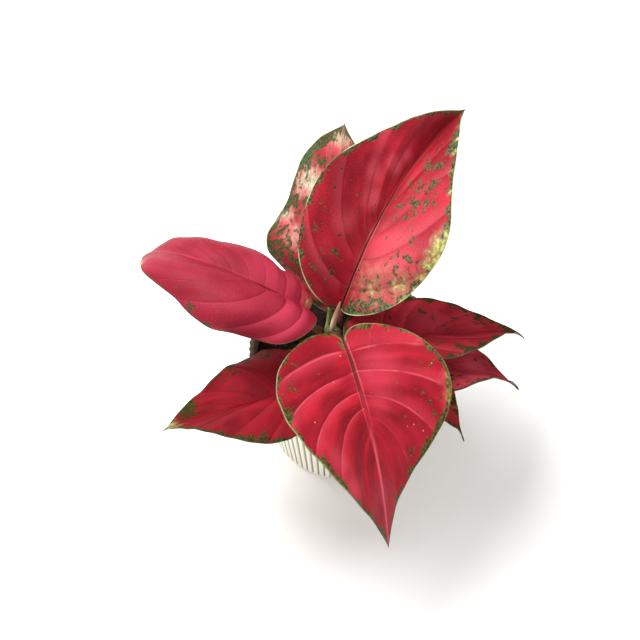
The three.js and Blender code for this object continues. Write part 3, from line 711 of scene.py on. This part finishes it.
class Nodes:
    """A short way to write a material's nodes."""

    def __init__(self, name):
        self.material = bpy.data.materials.new(name)
        self.material.use_nodes = True
        self.tree = self.material.node_tree
        self.shader = self.tree.nodes["Principled BSDF"]

    def put(self, socket, value):
        """Links a value to a socket, or sets it there. Three numbers are a colour of 255."""
        if isinstance(value, Output):
            self.tree.links.new(value.socket, socket)
        else:
            socket.default_value = linear(value) if np.size(value) == 3 else value

    def make(self, kind, inputs=(), output=0, **settings):
        """An output of a new node, whose inputs are given by number or by name."""
        node = self.tree.nodes.new(kind)
        for key, value in settings.items():
            setattr(node, key, value)
        for key, value in inputs.items() if isinstance(inputs, dict) else enumerate(inputs):
            self.put(node.inputs[key], value)
        return Output(self, node.outputs[output])

    def attribute(self, name, output="Fac"):
        return self.make("ShaderNodeAttribute", (), output, attribute_name=name)

    def math(self, operation, a, b=0.0):
        return self.make("ShaderNodeMath", (a, b), operation=operation)

    def vector(self, x, y, z):
        return self.make("ShaderNodeCombineXYZ", (x, y, z))

    def mix(self, share, a, b):
        inputs = {"Factor": share, "A": a, "B": b}
        return self.make("ShaderNodeMix", inputs, "Result", data_type="RGBA")

    def paint(self, colour, *layers):
        """Lays colours over another, each given as (colour, mask, strength)."""
        for over, where, strength in layers:
            colour = self.mix(where * strength, colour, over)
        return colour

    def noise(self, vector, scale, detail=2.0, roughness=0.5):
        inputs = {"Vector": vector, "Scale": scale, "Detail": detail, "Roughness": roughness}
        return self.make("ShaderNodeTexNoise", inputs, "Fac")

    def cells(self, vector, scale, feature="DISTANCE_TO_EDGE"):
        inputs = {"Vector": vector, "Scale": scale}
        return self.make("ShaderNodeTexVoronoi", inputs, "Distance", feature=feature)

    def bump(self, height, strength, distance):
        inputs = {"Strength": strength, "Distance": distance, "Height": height}
        self.put(self.shader.inputs["Normal"], self.make("ShaderNodeBump", inputs))

    def finish(self, colour, roughness, specular=0.4):
        self.put(self.shader.inputs["Base Color"], colour)
        self.put(self.shader.inputs["Roughness"], roughness)
        self.put(self.shader.inputs["Specular IOR Level"], specular)
        return self.material


VEIN_SPACING = 15.0  # mm from one lateral vein to the next, on average
BARE_FADE = 0.2  # how long the veins take to be lost, as a share of the length
SIDES_APART = 20.0  # keeps the patterns of the two halves apart
# Bands beside a line, in mm from it: where each starts to show and where it shows fully.
VEIN_BAND = (0.7, 0.15)
CHANNEL_BAND = (1.2, 0.5)
CREST_BAND = (1.5, 0.4)
SHOULDER_INSIDE, SHOULDER_OUTSIDE = (0.8, 1.3), (2.2, 1.5)
RIM_BAND = (0.6, 0.3)
UNDER_VEIN_BAND = (1.1, 0.3)
KEEL_BAND = (2.6, 1.4)
TIP_SPAN = (0.95, 0.992)


def leaf_pattern(n, look):
    """The coordinates and masks that both faces of a leaf share."""
    place = n.attribute("place", "Vector")
    along, across, seed = place.split()
    vein, out, distance = n.attribute("rib", "Vector").split()
    side = n.math("SIGN", across)
    row = vein * VEIN_SPACING
    other = seed + side * SIDES_APART
    run = distance * 0.5 + along * 0.45
    streaks = n.vector(row, run, other)
    ragged = n.noise(streaks, 0.5, 2.0, 0.6)
    dashes = n.noise(streaks, 0.25, 3.0, 0.6)
    green = n.attribute("green") + (dashes - 0.5) * look.ragged
    cloud = n.noise(n.vector(row, run, seed), 0.3, 3.0, 0.6)
    wash = n.attribute("pale") + (cloud - 0.5) * 1.3
    left, right = look.margin
    width = side * ((left - right) / 2) + (left + right) / 2
    width = width * n.noise(place, 0.1, 3.0, 0.6).step(0.42, 0.62, 0.35, 1.8) + (ragged - 0.5) * 2.5
    edge = n.attribute("edge")
    return Values(
        place=place, vein=vein, out=out, distance=distance, side=side, edge=edge, streaks=streaks,
        ragged=ragged, share=n.attribute("share"), soft=n.noise(place, 0.04),
        fine=n.noise(streaks, 0.95), bands=n.noise(n.vector(row, run * 0.5, other), 0.14),
        near=n.math("ABSOLUTE", vein - n.math("ROUND", vein)) * VEIN_SPACING,
        blotch=(green + look.specks).step(0.44, 0.64), pale=wash.step(0.45, 0.85),
        wash=wash.step(0.05, 0.6) * n.attribute("pale").step(0.03, 0.3),
        margin=(edge - n.math("MAXIMUM", width, look.line)).step(0.35, -0.25))


def ground_layers(n, p, look):
    """The pink and dark zones of the red (in part painted light and painted shadow), painted shading across
    the strips between its veins, fine lines and veins, and the blush.
    """
    tint = n.attribute("tint")
    bare = p.share.step(look.bare, look.bare - BARE_FADE)
    panel = (p.vein - n.math("FLOOR", p.vein) - 0.5) * p.side * p.out.step(0.05, 0.25) * bare
    fade = p.out.step(1.0, 0.8) * n.noise(p.place, 0.06).step(0.3, 0.55)
    return [
        # Pink and dark zones: in part the leaf's own tone, in part painted light and painted shadow from the
        # leaves above.
        (look.pink, tint.step(0.0, 1.0), look.tint),
        (look.deep, tint.step(0.0, -1.0), 0.85),
        # Painted shading: each strip between two lateral veins is paler towards one of them and darker
        # towards the other, mirrored between the halves, as light from the left would fall on it.
        (look.pink, panel.step(0.05, 0.5), look.panel),
        (look.deep, panel.step(-0.05, -0.5), look.panel),
        # Fine lines run with the lateral veins.
        (look.pink, p.lines.step(0.5, 0.75), look.lines),
        (look.deep, p.lines.step(0.5, 0.25), 0.3),
        (look.vein, p.near.step(*VEIN_BAND) * (fade * bare), look.veins),
        (look.blush, p.wash, look.wash)]


def mottling_layers(n, p, look):
    """Green blotches and margin, cream patches, and the light line along the margin."""
    leafy = n.mix(p.fine.step(0.38, 0.62), look.green_dark, look.green)
    creamy = n.mix(p.ragged.step(0.4, 0.56), look.pale_green, look.pale)
    broken = n.noise(p.place, 0.05, 1.0).step(0.35, 0.6)
    return [
        (leafy, p.blotch, 0.88),
        (leafy, p.margin, 0.9),
        (creamy, p.pale, 0.8),
        (look.rim, p.edge.step(*RIM_BAND) * look.rim_light, broken)]


def midrib_layers(p, look):
    """A dark channel, painted highlights on the shoulders beside it and on the crest towards the tip (in the
    vein colour), and a dark tip.
    """
    channel = p.distance.step(*CHANNEL_BAND) * p.share.step(look.groove, look.groove - 0.3)
    shoulder = p.distance.step(*SHOULDER_INSIDE) * p.distance.step(*SHOULDER_OUTSIDE)
    crest = p.distance.step(*CREST_BAND) * p.share.step(0.8, 0.95)
    return [
        (look.midrib, channel, 0.85),
        # Painted highlights beside the channel and along the crest towards the tip.
        (look.get("shoulder", look.vein), shoulder * p.share.step(0.98, 0.7), 0.35),
        (look.vein, crest, look.crest),
        (look.green_dark, p.share.step(*TIP_SPAN), look.tip)]


def upper_material(name, look):
    n = Nodes(name + "_upper")
    p = leaf_pattern(n, look)
    p.lines = n.noise(p.streaks, 1.6, 2.0, 0.55)
    ground = n.mix((p.soft * 0.5 + p.bands * 0.5).step(0.34, 0.64), look.deep, look.bright)
    layers = ground_layers(n, p, look) + mottling_layers(n, p, look) + midrib_layers(p, look)
    if look.dust:  # a few pale specks lie on the leaf
        dots = n.cells(p.place, 0.1, "F1").step(0.055, 0.035)
        layers.append((look.rim, dots * n.noise(p.place, 0.04, 1.0).step(0.44, 0.5), look.dust))
    cells = n.cells(p.place, 0.9).step(0.0, 0.16)
    n.bump(cells * 0.35 + p.lines * 0.9 - p.near.step(0.9, 0.1) * 0.8, 0.4, 0.0004)
    return n.finish(n.paint(ground, *layers), p.fine * 0.2 + 0.4, look.gloss)


def lower_material(name, look):
    n = Nodes(name + "_lower")
    p = leaf_pattern(n, look)
    line = p.near.step(*UNDER_VEIN_BAND) * p.out.step(0.98, 0.8)
    keel = p.distance.step(*KEEL_BAND) * p.share.step(0.96, 0.8)
    colour = n.paint(
        n.mix(p.soft.step(0.35, 0.65), (176, 84, 88), (198, 112, 104)),
        ((142, 148, 112), p.ragged.step(0.5, 0.62), 0.45),
        ((142, 148, 112), p.blotch, 0.75),
        ((120, 134, 88), p.margin, 0.8),
        ((214, 206, 160), p.pale, 0.6),
        ((214, 160, 138), line, 0.5),
        ((206, 178, 132), keel, 0.8),
        (look.green_dark, p.share.step(*TIP_SPAN), look.tip))
    cells = n.cells(p.place, 0.7).step(0.0, 0.2)
    n.bump(cells + n.noise(p.streaks, 1.6, 3.0), 0.3, 0.0003)
    return n.finish(colour, p.fine * 0.12 + 0.58, 0.3)


def stalk_material(name, look):
    n = Nodes(name + "_stalk")
    place = n.attribute("place", "Vector")
    along, around, seed = place.split()
    stripe = n.noise(n.vector(along * 0.08, around, seed), 1.6, 3.0, 0.6)
    colour = n.mix(stripe.step(0.35, 0.65), look.stalk, look.stalk_light)
    colour = n.paint(
        colour,
        (look.stalk_top, (n.attribute("share") + stripe * 0.4).step(0.4, 1.1), 0.6),
        (look.stalk, n.noise(place, 0.8).step(0.62, 0.7), 0.4))
    n.bump(stripe, 0.4, 0.0004)
    return n.finish(colour, stripe * 0.15 + 0.42)


def pot_material():
    n = Nodes("ribbed_white")
    place = n.attribute("place", "Vector")
    soft, grain = n.noise(place, 0.03, 3.0), n.noise(place, 1.8, 3.0)
    colour = n.mix(soft, (248, 246, 230), (240, 236, 214))
    # Painted shade: the grooves between the ribs are darker grey-olive.
    groove_shade = n.attribute("groove").step(0.2, 0.62) * (grain * 0.3 + 0.7)
    colour = n.mix(groove_shade, colour, (128, 126, 100))
    # The rim top and the inside wall are olive-dark: marked by soil in part, but mostly painted shade under
    # the leaves.
    colour = n.mix(n.attribute("stain_and_shade") * (soft * 0.6 + 0.62), colour, (86, 78, 46))
    n.bump(grain, 0.12, 0.0002)
    return n.finish(colour, grain * 0.14 + 0.32, 0.45)


def soil_material():
    n = Nodes("potting_mix")
    place = n.attribute("place", "Vector")
    rough, grain = n.noise(place, 0.25, 5.0, 0.65), n.noise(place, 1.5, 4.0, 0.7)
    colour = n.mix(rough.step(0.35, 0.65), (18, 11, 9), (44, 28, 21))
    colour = n.paint(
        colour,
        ((68, 48, 34), grain.step(0.55, 0.75), 0.6),
        ((108, 88, 66), n.attribute("share"), 0.85))
    n.bump(grain + rough, 0.8, 0.0012)
    return n.finish(colour, grain * 0.1 + 0.86, 0.2)


def stem_material():
    n = Nodes("cane")
    around, height, _ = n.attribute("place", "Vector").split()
    bark = n.noise(n.vector(around, height * 0.25, 3.0), 0.5, 4.0, 0.6)
    colour = n.mix(bark.step(0.35, 0.65), (92, 100, 52), (136, 132, 78))
    colour = n.paint(colour, ((112, 84, 54), n.attribute("share"), 0.7))
    n.bump(bark, 0.5, 0.0005)
    return n.finish(colour, bark * 0.2 + 0.5, 0.35)


def new_leaf_material():
    n = Nodes("rolled_leaf")
    around, along, layer = n.attribute("place", "Vector").split()
    share = n.attribute("share")
    stripe = n.noise(n.vector(around, along * 0.06, layer), 0.8, 3.0, 0.55)
    # The colours are light, and the lower part paler still: in part the young leaf's own cream, in part a
    # painted highlight.
    colour = n.mix(stripe.step(0.35, 0.65), (222, 160, 134), (244, 214, 180))
    colour = n.paint(
        colour,
        ((252, 238, 202), share.step(0.75, 0.4), 0.85),
        ((180, 106, 86), share.step(0.6, 0.9), 0.6))
    n.bump(stripe, 0.3, 0.0003)
    return n.finish(colour, stripe * 0.15 + 0.4)


# ---------------------------------------------------------------- leaves
def make_leaf(name):
    leaf, form, look = (Values(table[name]) for table in (LEAVES, FORMS, LOOKS))
    blade = build_blade(leaf, form)
    blade[3].update(zone_values(name, leaf, blade[3]))
    materials = [upper_material(name, look), lower_material(name, look), stalk_material(name, look)]
    parts = joined([blade, build_petiole(leaf, form)])
    piece = make_object(name.replace("leaf", "foliage"), *parts, materials=materials)
    mend_normals(piece)
    return piece


# ---------------------------------------------------------------- pot
POT_SEGMENTS = POT_RIBS * 12
RIB_ROUNDNESS = 0.7
RIB_FADE = 2.5  # the ribs are at their full depth this far above the base
# How the foot and the rim are rounded: (how far in, how far from the end). RIM_RIBS is how deep
# the ribs are on the way round the rim.
FOOT_ROUND = [(1.2, 0.0), (0.6, 0.12), (0.25, 0.35), (0.05, 0.8), (0.0, 1.3)]
RIM_ROUND = [(0.05, 1.4), (0.1, 0.9), (0.3, 0.4), (0.7, 0.1), (1.2, 0.0)]
RIM_RIBS = [1.0, 1.0, 1.0, 0.8, 0.8]
WALL_HEIGHTS = (4, 12, 30, 54, 78, 98)
INSIDE_ROUND = 3.0  # where the wall meets the floor
STAINED_AND_SHADED_RIM = 2  # the soil marks and painted shade start this many rings before the inside


def pot_radius(height):
    return POT_BASE_RADIUS + (POT_RIM_RADIUS - POT_BASE_RADIUS) * height / POT_HEIGHT


def lathe(radii, heights):
    """Rings of points about the Z axis: at each height a row of radii, one for each angle."""
    angles = np.linspace(0, FULL_TURN, radii.shape[1], endpoint=False)
    heights = np.repeat(np.array(heights, float)[:, None], angles.size, 1)
    return np.stack([radii * np.sin(angles), -radii * np.cos(angles), heights], -1)


def pot_profile():
    """(radius, height, how deep the ribs are) up the outside of the pot and down its inside."""
    underside = [(8, 0, 0), (20, 0, 0), (45, 0, 0)]
    outer = []
    for inset, height in FOOT_ROUND:
        ribbed = min(1, height / RIB_FADE)
        outer.append((POT_BASE_RADIUS - inset - POT_RIB_DEPTH / 2 * (1 - ribbed), height, ribbed))
    outer += [(pot_radius(height), height, 1.0) for height in WALL_HEIGHTS]
    outer += [(POT_RIM_RADIUS - inset, POT_HEIGHT - drop, ribbed)
              for (inset, drop), ribbed in zip(RIM_ROUND, RIM_RIBS)]
    wall = POT_WALL + POT_RIB_DEPTH
    lip = POT_RIM_RADIUS - wall
    inside = [(lip + 0.6, POT_HEIGHT, 0), (lip + 0.15, POT_HEIGHT - 0.2, 0)]
    inside += [(pot_radius(height) - wall, height, 0)
               for height in (POT_HEIGHT - 0.8, 90, 60, POT_FLOOR + INSIDE_ROUND)]
    inside += [(r, POT_FLOOR, 0) for r in (pot_radius(POT_FLOOR) - wall - INSIDE_ROUND, 20, 8)]
    stained_and_shaded = len(underside + outer) - STAINED_AND_SHADED_RIM
    return np.array(underside + outer + inside, float), stained_and_shaded


def make_pot():
    profile, stained_and_shaded = pot_profile()
    radius, heights, ribbing = profile.T
    angles = np.linspace(0, FULL_TURN, POT_SEGMENTS, endpoint=False)
    groove = ribbing[:, None] * (1 - np.abs(np.sin(angles * POT_RIBS / 2)) ** RIB_ROUNDNESS)
    rings = lathe(radius[:, None] - POT_RIB_DEPTH * groove, heights)
    vertices, faces = capped(rings, [0, 0, 0], [0, 0, POT_FLOOR])
    # Marks the rings from the rim top inwards for their olive-dark colour, soil marks and painted shade.
    stain_and_shade = np.repeat(np.arange(len(profile)) >= stained_and_shaded, POT_SEGMENTS)
    values = {"groove": np.append(groove.ravel(), [0, 0]), "place": vertices,
              "stain_and_shade": np.append(stain_and_shade, [0, 1])}
    pot = make_object("ribbed_pot", vertices * MM, faces, None, values, [pot_material()])
    for hole in range(DRAIN_HOLES):
        angle = FULL_TURN * (hole + 0.5) / DRAIN_HOLES
        at = Vector((math.cos(angle), math.sin(angle), 0)) * DRAIN_CIRCLE_RADIUS
        at.z = POT_FLOOR / 2
        bpy.ops.mesh.primitive_cylinder_add(
            vertices=48, radius=DRAIN_HOLE_RADIUS * MM, depth=3 * POT_FLOOR * MM, location=at * MM)
        cutter = bpy.context.object
        cut = pot.modifiers.new("drain", "BOOLEAN")
        cut.object, cut.operation, cut.solver = cutter, "DIFFERENCE", "EXACT"
        apply_modifiers(pot)
        bpy.data.objects.remove(cutter)
    return pot


# ---------------------------------------------------------------- soil
SOIL_SEGMENTS, SOIL_RINGS = 220, 90
SOIL_MIDDLE = 0.12  # the innermost ring, as a share of the soil's radius
SOIL_FOOT = POT_FLOOR + CLEARANCE
SOIL_SEED, SOIL_WAVE, SOIL_OCTAVES = 5, 0.12, 5
SOIL_ROUGHNESS, SOIL_ROUGHNESS_LIMIT, SOIL_SETTLING = 1.5, 2.2, 0.6
CRUMB_SEED = 77
CRUMBS = 700
CRUMB_SIZES = (0.7, 2.0)
CRUMB_TONES, CRUMB_TONE_SHARES = [0.0, 0.15, 0.5, 1.0], [0.45, 0.3, 0.18, 0.07]
CRUMB_FREE_STEM, CRUMB_FREE_EDGE = 3.0, 0.5


def soil_unevenness(x, y):
    """A smooth noise from sines in random directions, each octave finer and lower than the last."""
    random = np.random.default_rng(SOIL_SEED)
    total = np.zeros(np.shape(x))
    for octave in range(SOIL_OCTAVES):
        for _ in range(4):
            k = random.normal(size=2) * SOIL_WAVE * 1.9**octave
            total = total + np.sin(x * k[0] + y * k[1] + random.uniform(*ANY_PHASE)) / 1.7**octave / 4
    return SOIL_ROUGHNESS * total


def lump(random, size):
    """A small irregular crumb about the origin."""
    ball = bmesh.new()
    bmesh.ops.create_icosphere(ball, subdivisions=1, radius=1)
    points = np.array([v.co for v in ball.verts])
    faces = [[v.index for v in f.verts] for f in ball.faces]
    ball.free()
    points = points * random.uniform(0.75, 1.25, (len(points), 1))
    points = points * np.array([1, random.uniform(0.5, 1), random.uniform(0.35, 0.8)]) * size
    turn = random.uniform(0, FULL_TURN)
    spin = np.array([[math.cos(turn), -math.sin(turn), 0], [math.sin(turn), math.cos(turn), 0], [0, 0, 1]])
    return points @ spin.T, faces


def soil_crumbs(edge):
    """Loose crumbs strewn over the mound, clear of the stem and the pot."""
    random = np.random.default_rng(CRUMB_SEED)
    crumbs = []
    for _ in range(CRUMBS):
        r, turn = edge * math.sqrt(random.uniform(0.02, 0.97)), random.uniform(0, FULL_TURN)
        x, y = r * math.cos(turn), r * math.sin(turn)
        size = random.uniform(*CRUMB_SIZES)
        off_stem = math.hypot(x - STEM_X, y - STEM_Y) - STEM_RADIUS
        if off_stem < CRUMB_FREE_STEM or r + size > edge - CRUMB_FREE_EDGE:
            continue
        z = SOIL_TOP + SOIL_MOUND * (1 - r / edge) - SOIL_SETTLING + float(soil_unevenness(x, y))
        points, faces = lump(random, size)
        points = points + [x, y, z + size * 0.15]
        tone = random.choice(CRUMB_TONES, p=CRUMB_TONE_SHARES)
        values = {"share": np.full(len(points), tone), "place": points}
        crumbs.append((points, faces, [0] * len(faces), values))
    return crumbs


def make_soil():
    wall = POT_WALL + POT_RIB_DEPTH + CLEARANCE
    edge = pot_radius(SOIL_TOP) - wall
    profile = [(10, SOIL_FOOT), (40, SOIL_FOOT), (pot_radius(SOIL_FOOT) - wall - INSIDE_ROUND, SOIL_FOOT),
               (pot_radius(POT_FLOOR + INSIDE_ROUND) - wall, SOIL_FOOT + INSIDE_ROUND),
               (pot_radius(50) - wall, 50), (edge, SOIL_TOP - 1)]
    mound = len(profile)
    profile += [(edge * s, SOIL_TOP + SOIL_MOUND * (1 - s)) for s in np.linspace(1, SOIL_MIDDLE, SOIL_RINGS)]
    radius, heights = np.array(profile).T
    rings = lathe(np.repeat(radius[:, None], SOIL_SEGMENTS, 1), heights)
    top = rings[mound:]
    lumps = soil_unevenness(top[..., 0], top[..., 1])
    top[..., 2] += np.clip(lumps, -SOIL_ROUGHNESS_LIMIT, SOIL_ROUGHNESS_LIMIT) - SOIL_SETTLING
    vertices, faces = capped(rings, [0, 0, SOIL_FOOT], [0, 0, SOIL_TOP + SOIL_MOUND - 1])
    plug = (vertices, faces, [0] * len(faces), {"share": np.zeros(len(vertices)), "place": vertices})
    vertices, faces, slots, values = joined([plug] + soil_crumbs(edge))
    return make_object("potting_soil", vertices * MM, faces, slots, values, [soil_material()])


# ---------------------------------------------------------------- stem
STEM_SEGMENTS = 64
SCAR_HEIGHT, SCAR_WIDTH = 0.55, 0.7
STEM_INSET = 0.15  # leaves room for the bark's roughness
END_RADIUS = 4.0  # the rings at the ends that are narrower than this are smooth


def make_stem():
    """A cane whose surface is ringed with the scars of old leaves."""
    heights = np.arange(STEM_FOOT, STEM_TOP - 0.5, 0.5) + 0.5
    profile = [(3, STEM_FOOT), (5.4, STEM_FOOT + 0.01)] + [(STEM_RADIUS, h) for h in heights]
    profile += [(STEM_RADIUS - 1.0, STEM_TOP - 0.1), (2.5, STEM_TOP)]
    radius, heights = np.array(profile)[:, :, None].transpose(1, 0, 2)
    ring = (heights - STEM_FOOT) / STEM_RING_SPACING
    scars = bell((ring - np.round(ring)) * STEM_RING_SPACING, SCAR_WIDTH) * (radius == STEM_RADIUS)
    angles = np.linspace(0, FULL_TURN, STEM_SEGMENTS, endpoint=False)
    rough = 0.12 * np.sin(angles * 7 + heights * 0.9) + 0.08 * np.sin(angles * 13 - heights * 2.1)
    radii = radius + SCAR_HEIGHT * scars + rough * (radius > END_RADIUS) - STEM_INSET
    rings = lathe(radii, heights[:, 0]) + [STEM_X, STEM_Y, 0]
    vertices, faces = capped(rings, [STEM_X, STEM_Y, STEM_FOOT], [STEM_X, STEM_Y, STEM_TOP])
    share = np.append(np.repeat(scars, STEM_SEGMENTS), [0, 0])
    turned = np.append(np.tile(angles * STEM_RADIUS, len(profile)), [0, 0])
    values = {"share": share, "place": np.stack([turned, vertices[:, 2], share], -1)}
    return make_object("cane", vertices * MM, faces, None, values, [stem_material()])


# ---------------------------------------------------------------- new leaf
NEW_LEAF_PATH = [(-9, 0, 127.9), (-9, -7, 148), (-5, -9, 177)]
NEW_LEAF_RADIUS = 2.6
NEW_LEAF_RINGS, NEW_LEAF_STEPS = 70, 90
NEW_LEAF_TURNS, NEW_LEAF_TURNED = 1.45, 2.4
NEW_LEAF_TWIST = 0.9
NEW_LEAF_THICKNESS = 0.5
STRIPE_SPREAD, STRIPE_LENGTH, NEW_LEAF_LAYER = 24, 50, 7.0


def make_new_leaf():
    """A leaf that is still rolled up: a strip wound round itself about one and a half times."""
    a, b, c = (np.array(p, float) for p in NEW_LEAF_PATH)
    t = np.linspace(0, 1, NEW_LEAF_RINGS)[:, None]
    control = 2 * b - (a + c) / 2
    line = a * (1 - t) ** 2 + 2 * control * (t * (1 - t)) + c * t**2
    forward = unit(np.gradient(line, axis=0))
    across = unit(np.cross(forward, np.array([0.0, 1.0, 0.2])))
    other = np.cross(forward, across)
    radius = NEW_LEAF_RADIUS * (0.75 + 0.5 * t) * np.sqrt(np.maximum(1.0 - t, 0.004))
    wound = np.linspace(0, 1, NEW_LEAF_STEPS)
    spiral = 0.7 + 0.42 * wound
    turn = wound * FULL_TURN * NEW_LEAF_TURNS + NEW_LEAF_TURNED + NEW_LEAF_TWIST * t
    shells = []
    for depth in (0.0, NEW_LEAF_THICKNESS):
        r = np.maximum(radius * spiral - np.minimum(depth, radius * 0.25), radius * 0.05)
        shells.append(line[:, None] + (r * np.cos(turn))[..., None] * across[:, None]
                      + (r * np.sin(turn))[..., None] * other[:, None])
    index = np.arange(turn.size).reshape(turn.shape)
    faces = sum(skin(index, index + index.size), [])
    for row, flip in ((0, True), (-1, False)):
        faces += grid_faces(np.stack([index[row], index[row] + index.size], 0), flip)
    vertices = np.concatenate(shells).reshape(-1, 3)
    share = np.tile(np.repeat(t, NEW_LEAF_STEPS), 2)
    stripes = np.tile(wound * STRIPE_SPREAD, 2 * NEW_LEAF_RINGS)
    layer = np.full(len(vertices), NEW_LEAF_LAYER)
    values = {"share": share, "place": np.stack([stripes, share * STRIPE_LENGTH, layer], -1)}
    piece = make_object("rolled_new_leaf", vertices * MM, faces, None, values, [new_leaf_material()])
    mend_normals(piece)
    return piece


# ---------------------------------------------------------------- pieces
def stand_for(piece, node):
    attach(piece, "root")
    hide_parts(node)


for leaf_name in LEAVES:
    stand_for(make_leaf(leaf_name), leaf_name)

stand_for(make_pot(), "pot")
stand_for(make_soil(), "soil")
stand_for(make_stem(), "stem")
stand_for(make_new_leaf(), "new_leaf")

# ---------------------------------------------------------------- camera, light and floor
CAMERA_AT = (-18.0, -262.1, 545.2)
CAMERA_TILT = 33.0
CAMERA_LENS = 39.375
CAMERA_SENSOR = 36.0
CAMERA_RANGE = (0.01, 20)  # in metres, like all that follows
LAMP_AT = (-0.6, 0.38, 1.25)
LAMP_TARGET = (0, 0, 0.12)
LAMP_SIZE = 0.8
LAMP_POWER = 25
STUDIO_LIGHT = 0.8
FLOOR_SIZE = 6


def floor_material():
    n = Nodes("pale_floor")
    place = n.make("ShaderNodeTexCoord", (), "Object")
    colour = n.mix(n.noise(place, 3.0), (0.9, 0.9, 0.89, 1), (0.93, 0.93, 0.92, 1))
    return n.finish(colour, 0.8, 0.2)


def place_camera(scene):
    camera = bpy.data.cameras.new("camera")
    camera.lens = CAMERA_LENS
    camera.sensor_width = CAMERA_SENSOR
    camera.clip_start, camera.clip_end = CAMERA_RANGE
    holder = bpy.data.objects.new("camera", camera)
    holder.location = [c * MM for c in CAMERA_AT]
    holder.rotation_euler = (math.radians(CAMERA_TILT), 0, 0)
    scene.collection.objects.link(holder)
    scene.camera = holder


def place_light(scene):
    scene.view_settings.view_transform = "Standard"
    world = bpy.data.worlds.new("studio")
    world.use_nodes = True
    back = world.node_tree.nodes["Background"]
    back.inputs["Color"].default_value = (1, 1, 1, 1)
    back.inputs["Strength"].default_value = STUDIO_LIGHT
    scene.world = world
    key = bpy.data.lights.new("key", "AREA")
    key.shape = "DISK"
    key.size = LAMP_SIZE
    key.energy = LAMP_POWER
    lamp = bpy.data.objects.new("key", key)
    lamp.location = LAMP_AT
    lamp.rotation_euler = (Vector(LAMP_TARGET) - lamp.location).to_track_quat("-Z", "Y").to_euler()
    scene.collection.objects.link(lamp)


def place_floor():
    bpy.ops.mesh.primitive_plane_add(size=FLOOR_SIZE, location=(0, 0, 0))
    floor = bpy.context.object
    floor.name = "floor"
    floor.data.materials.append(floor_material())


place_camera(bpy.context.scene)
place_light(bpy.context.scene)
place_floor()
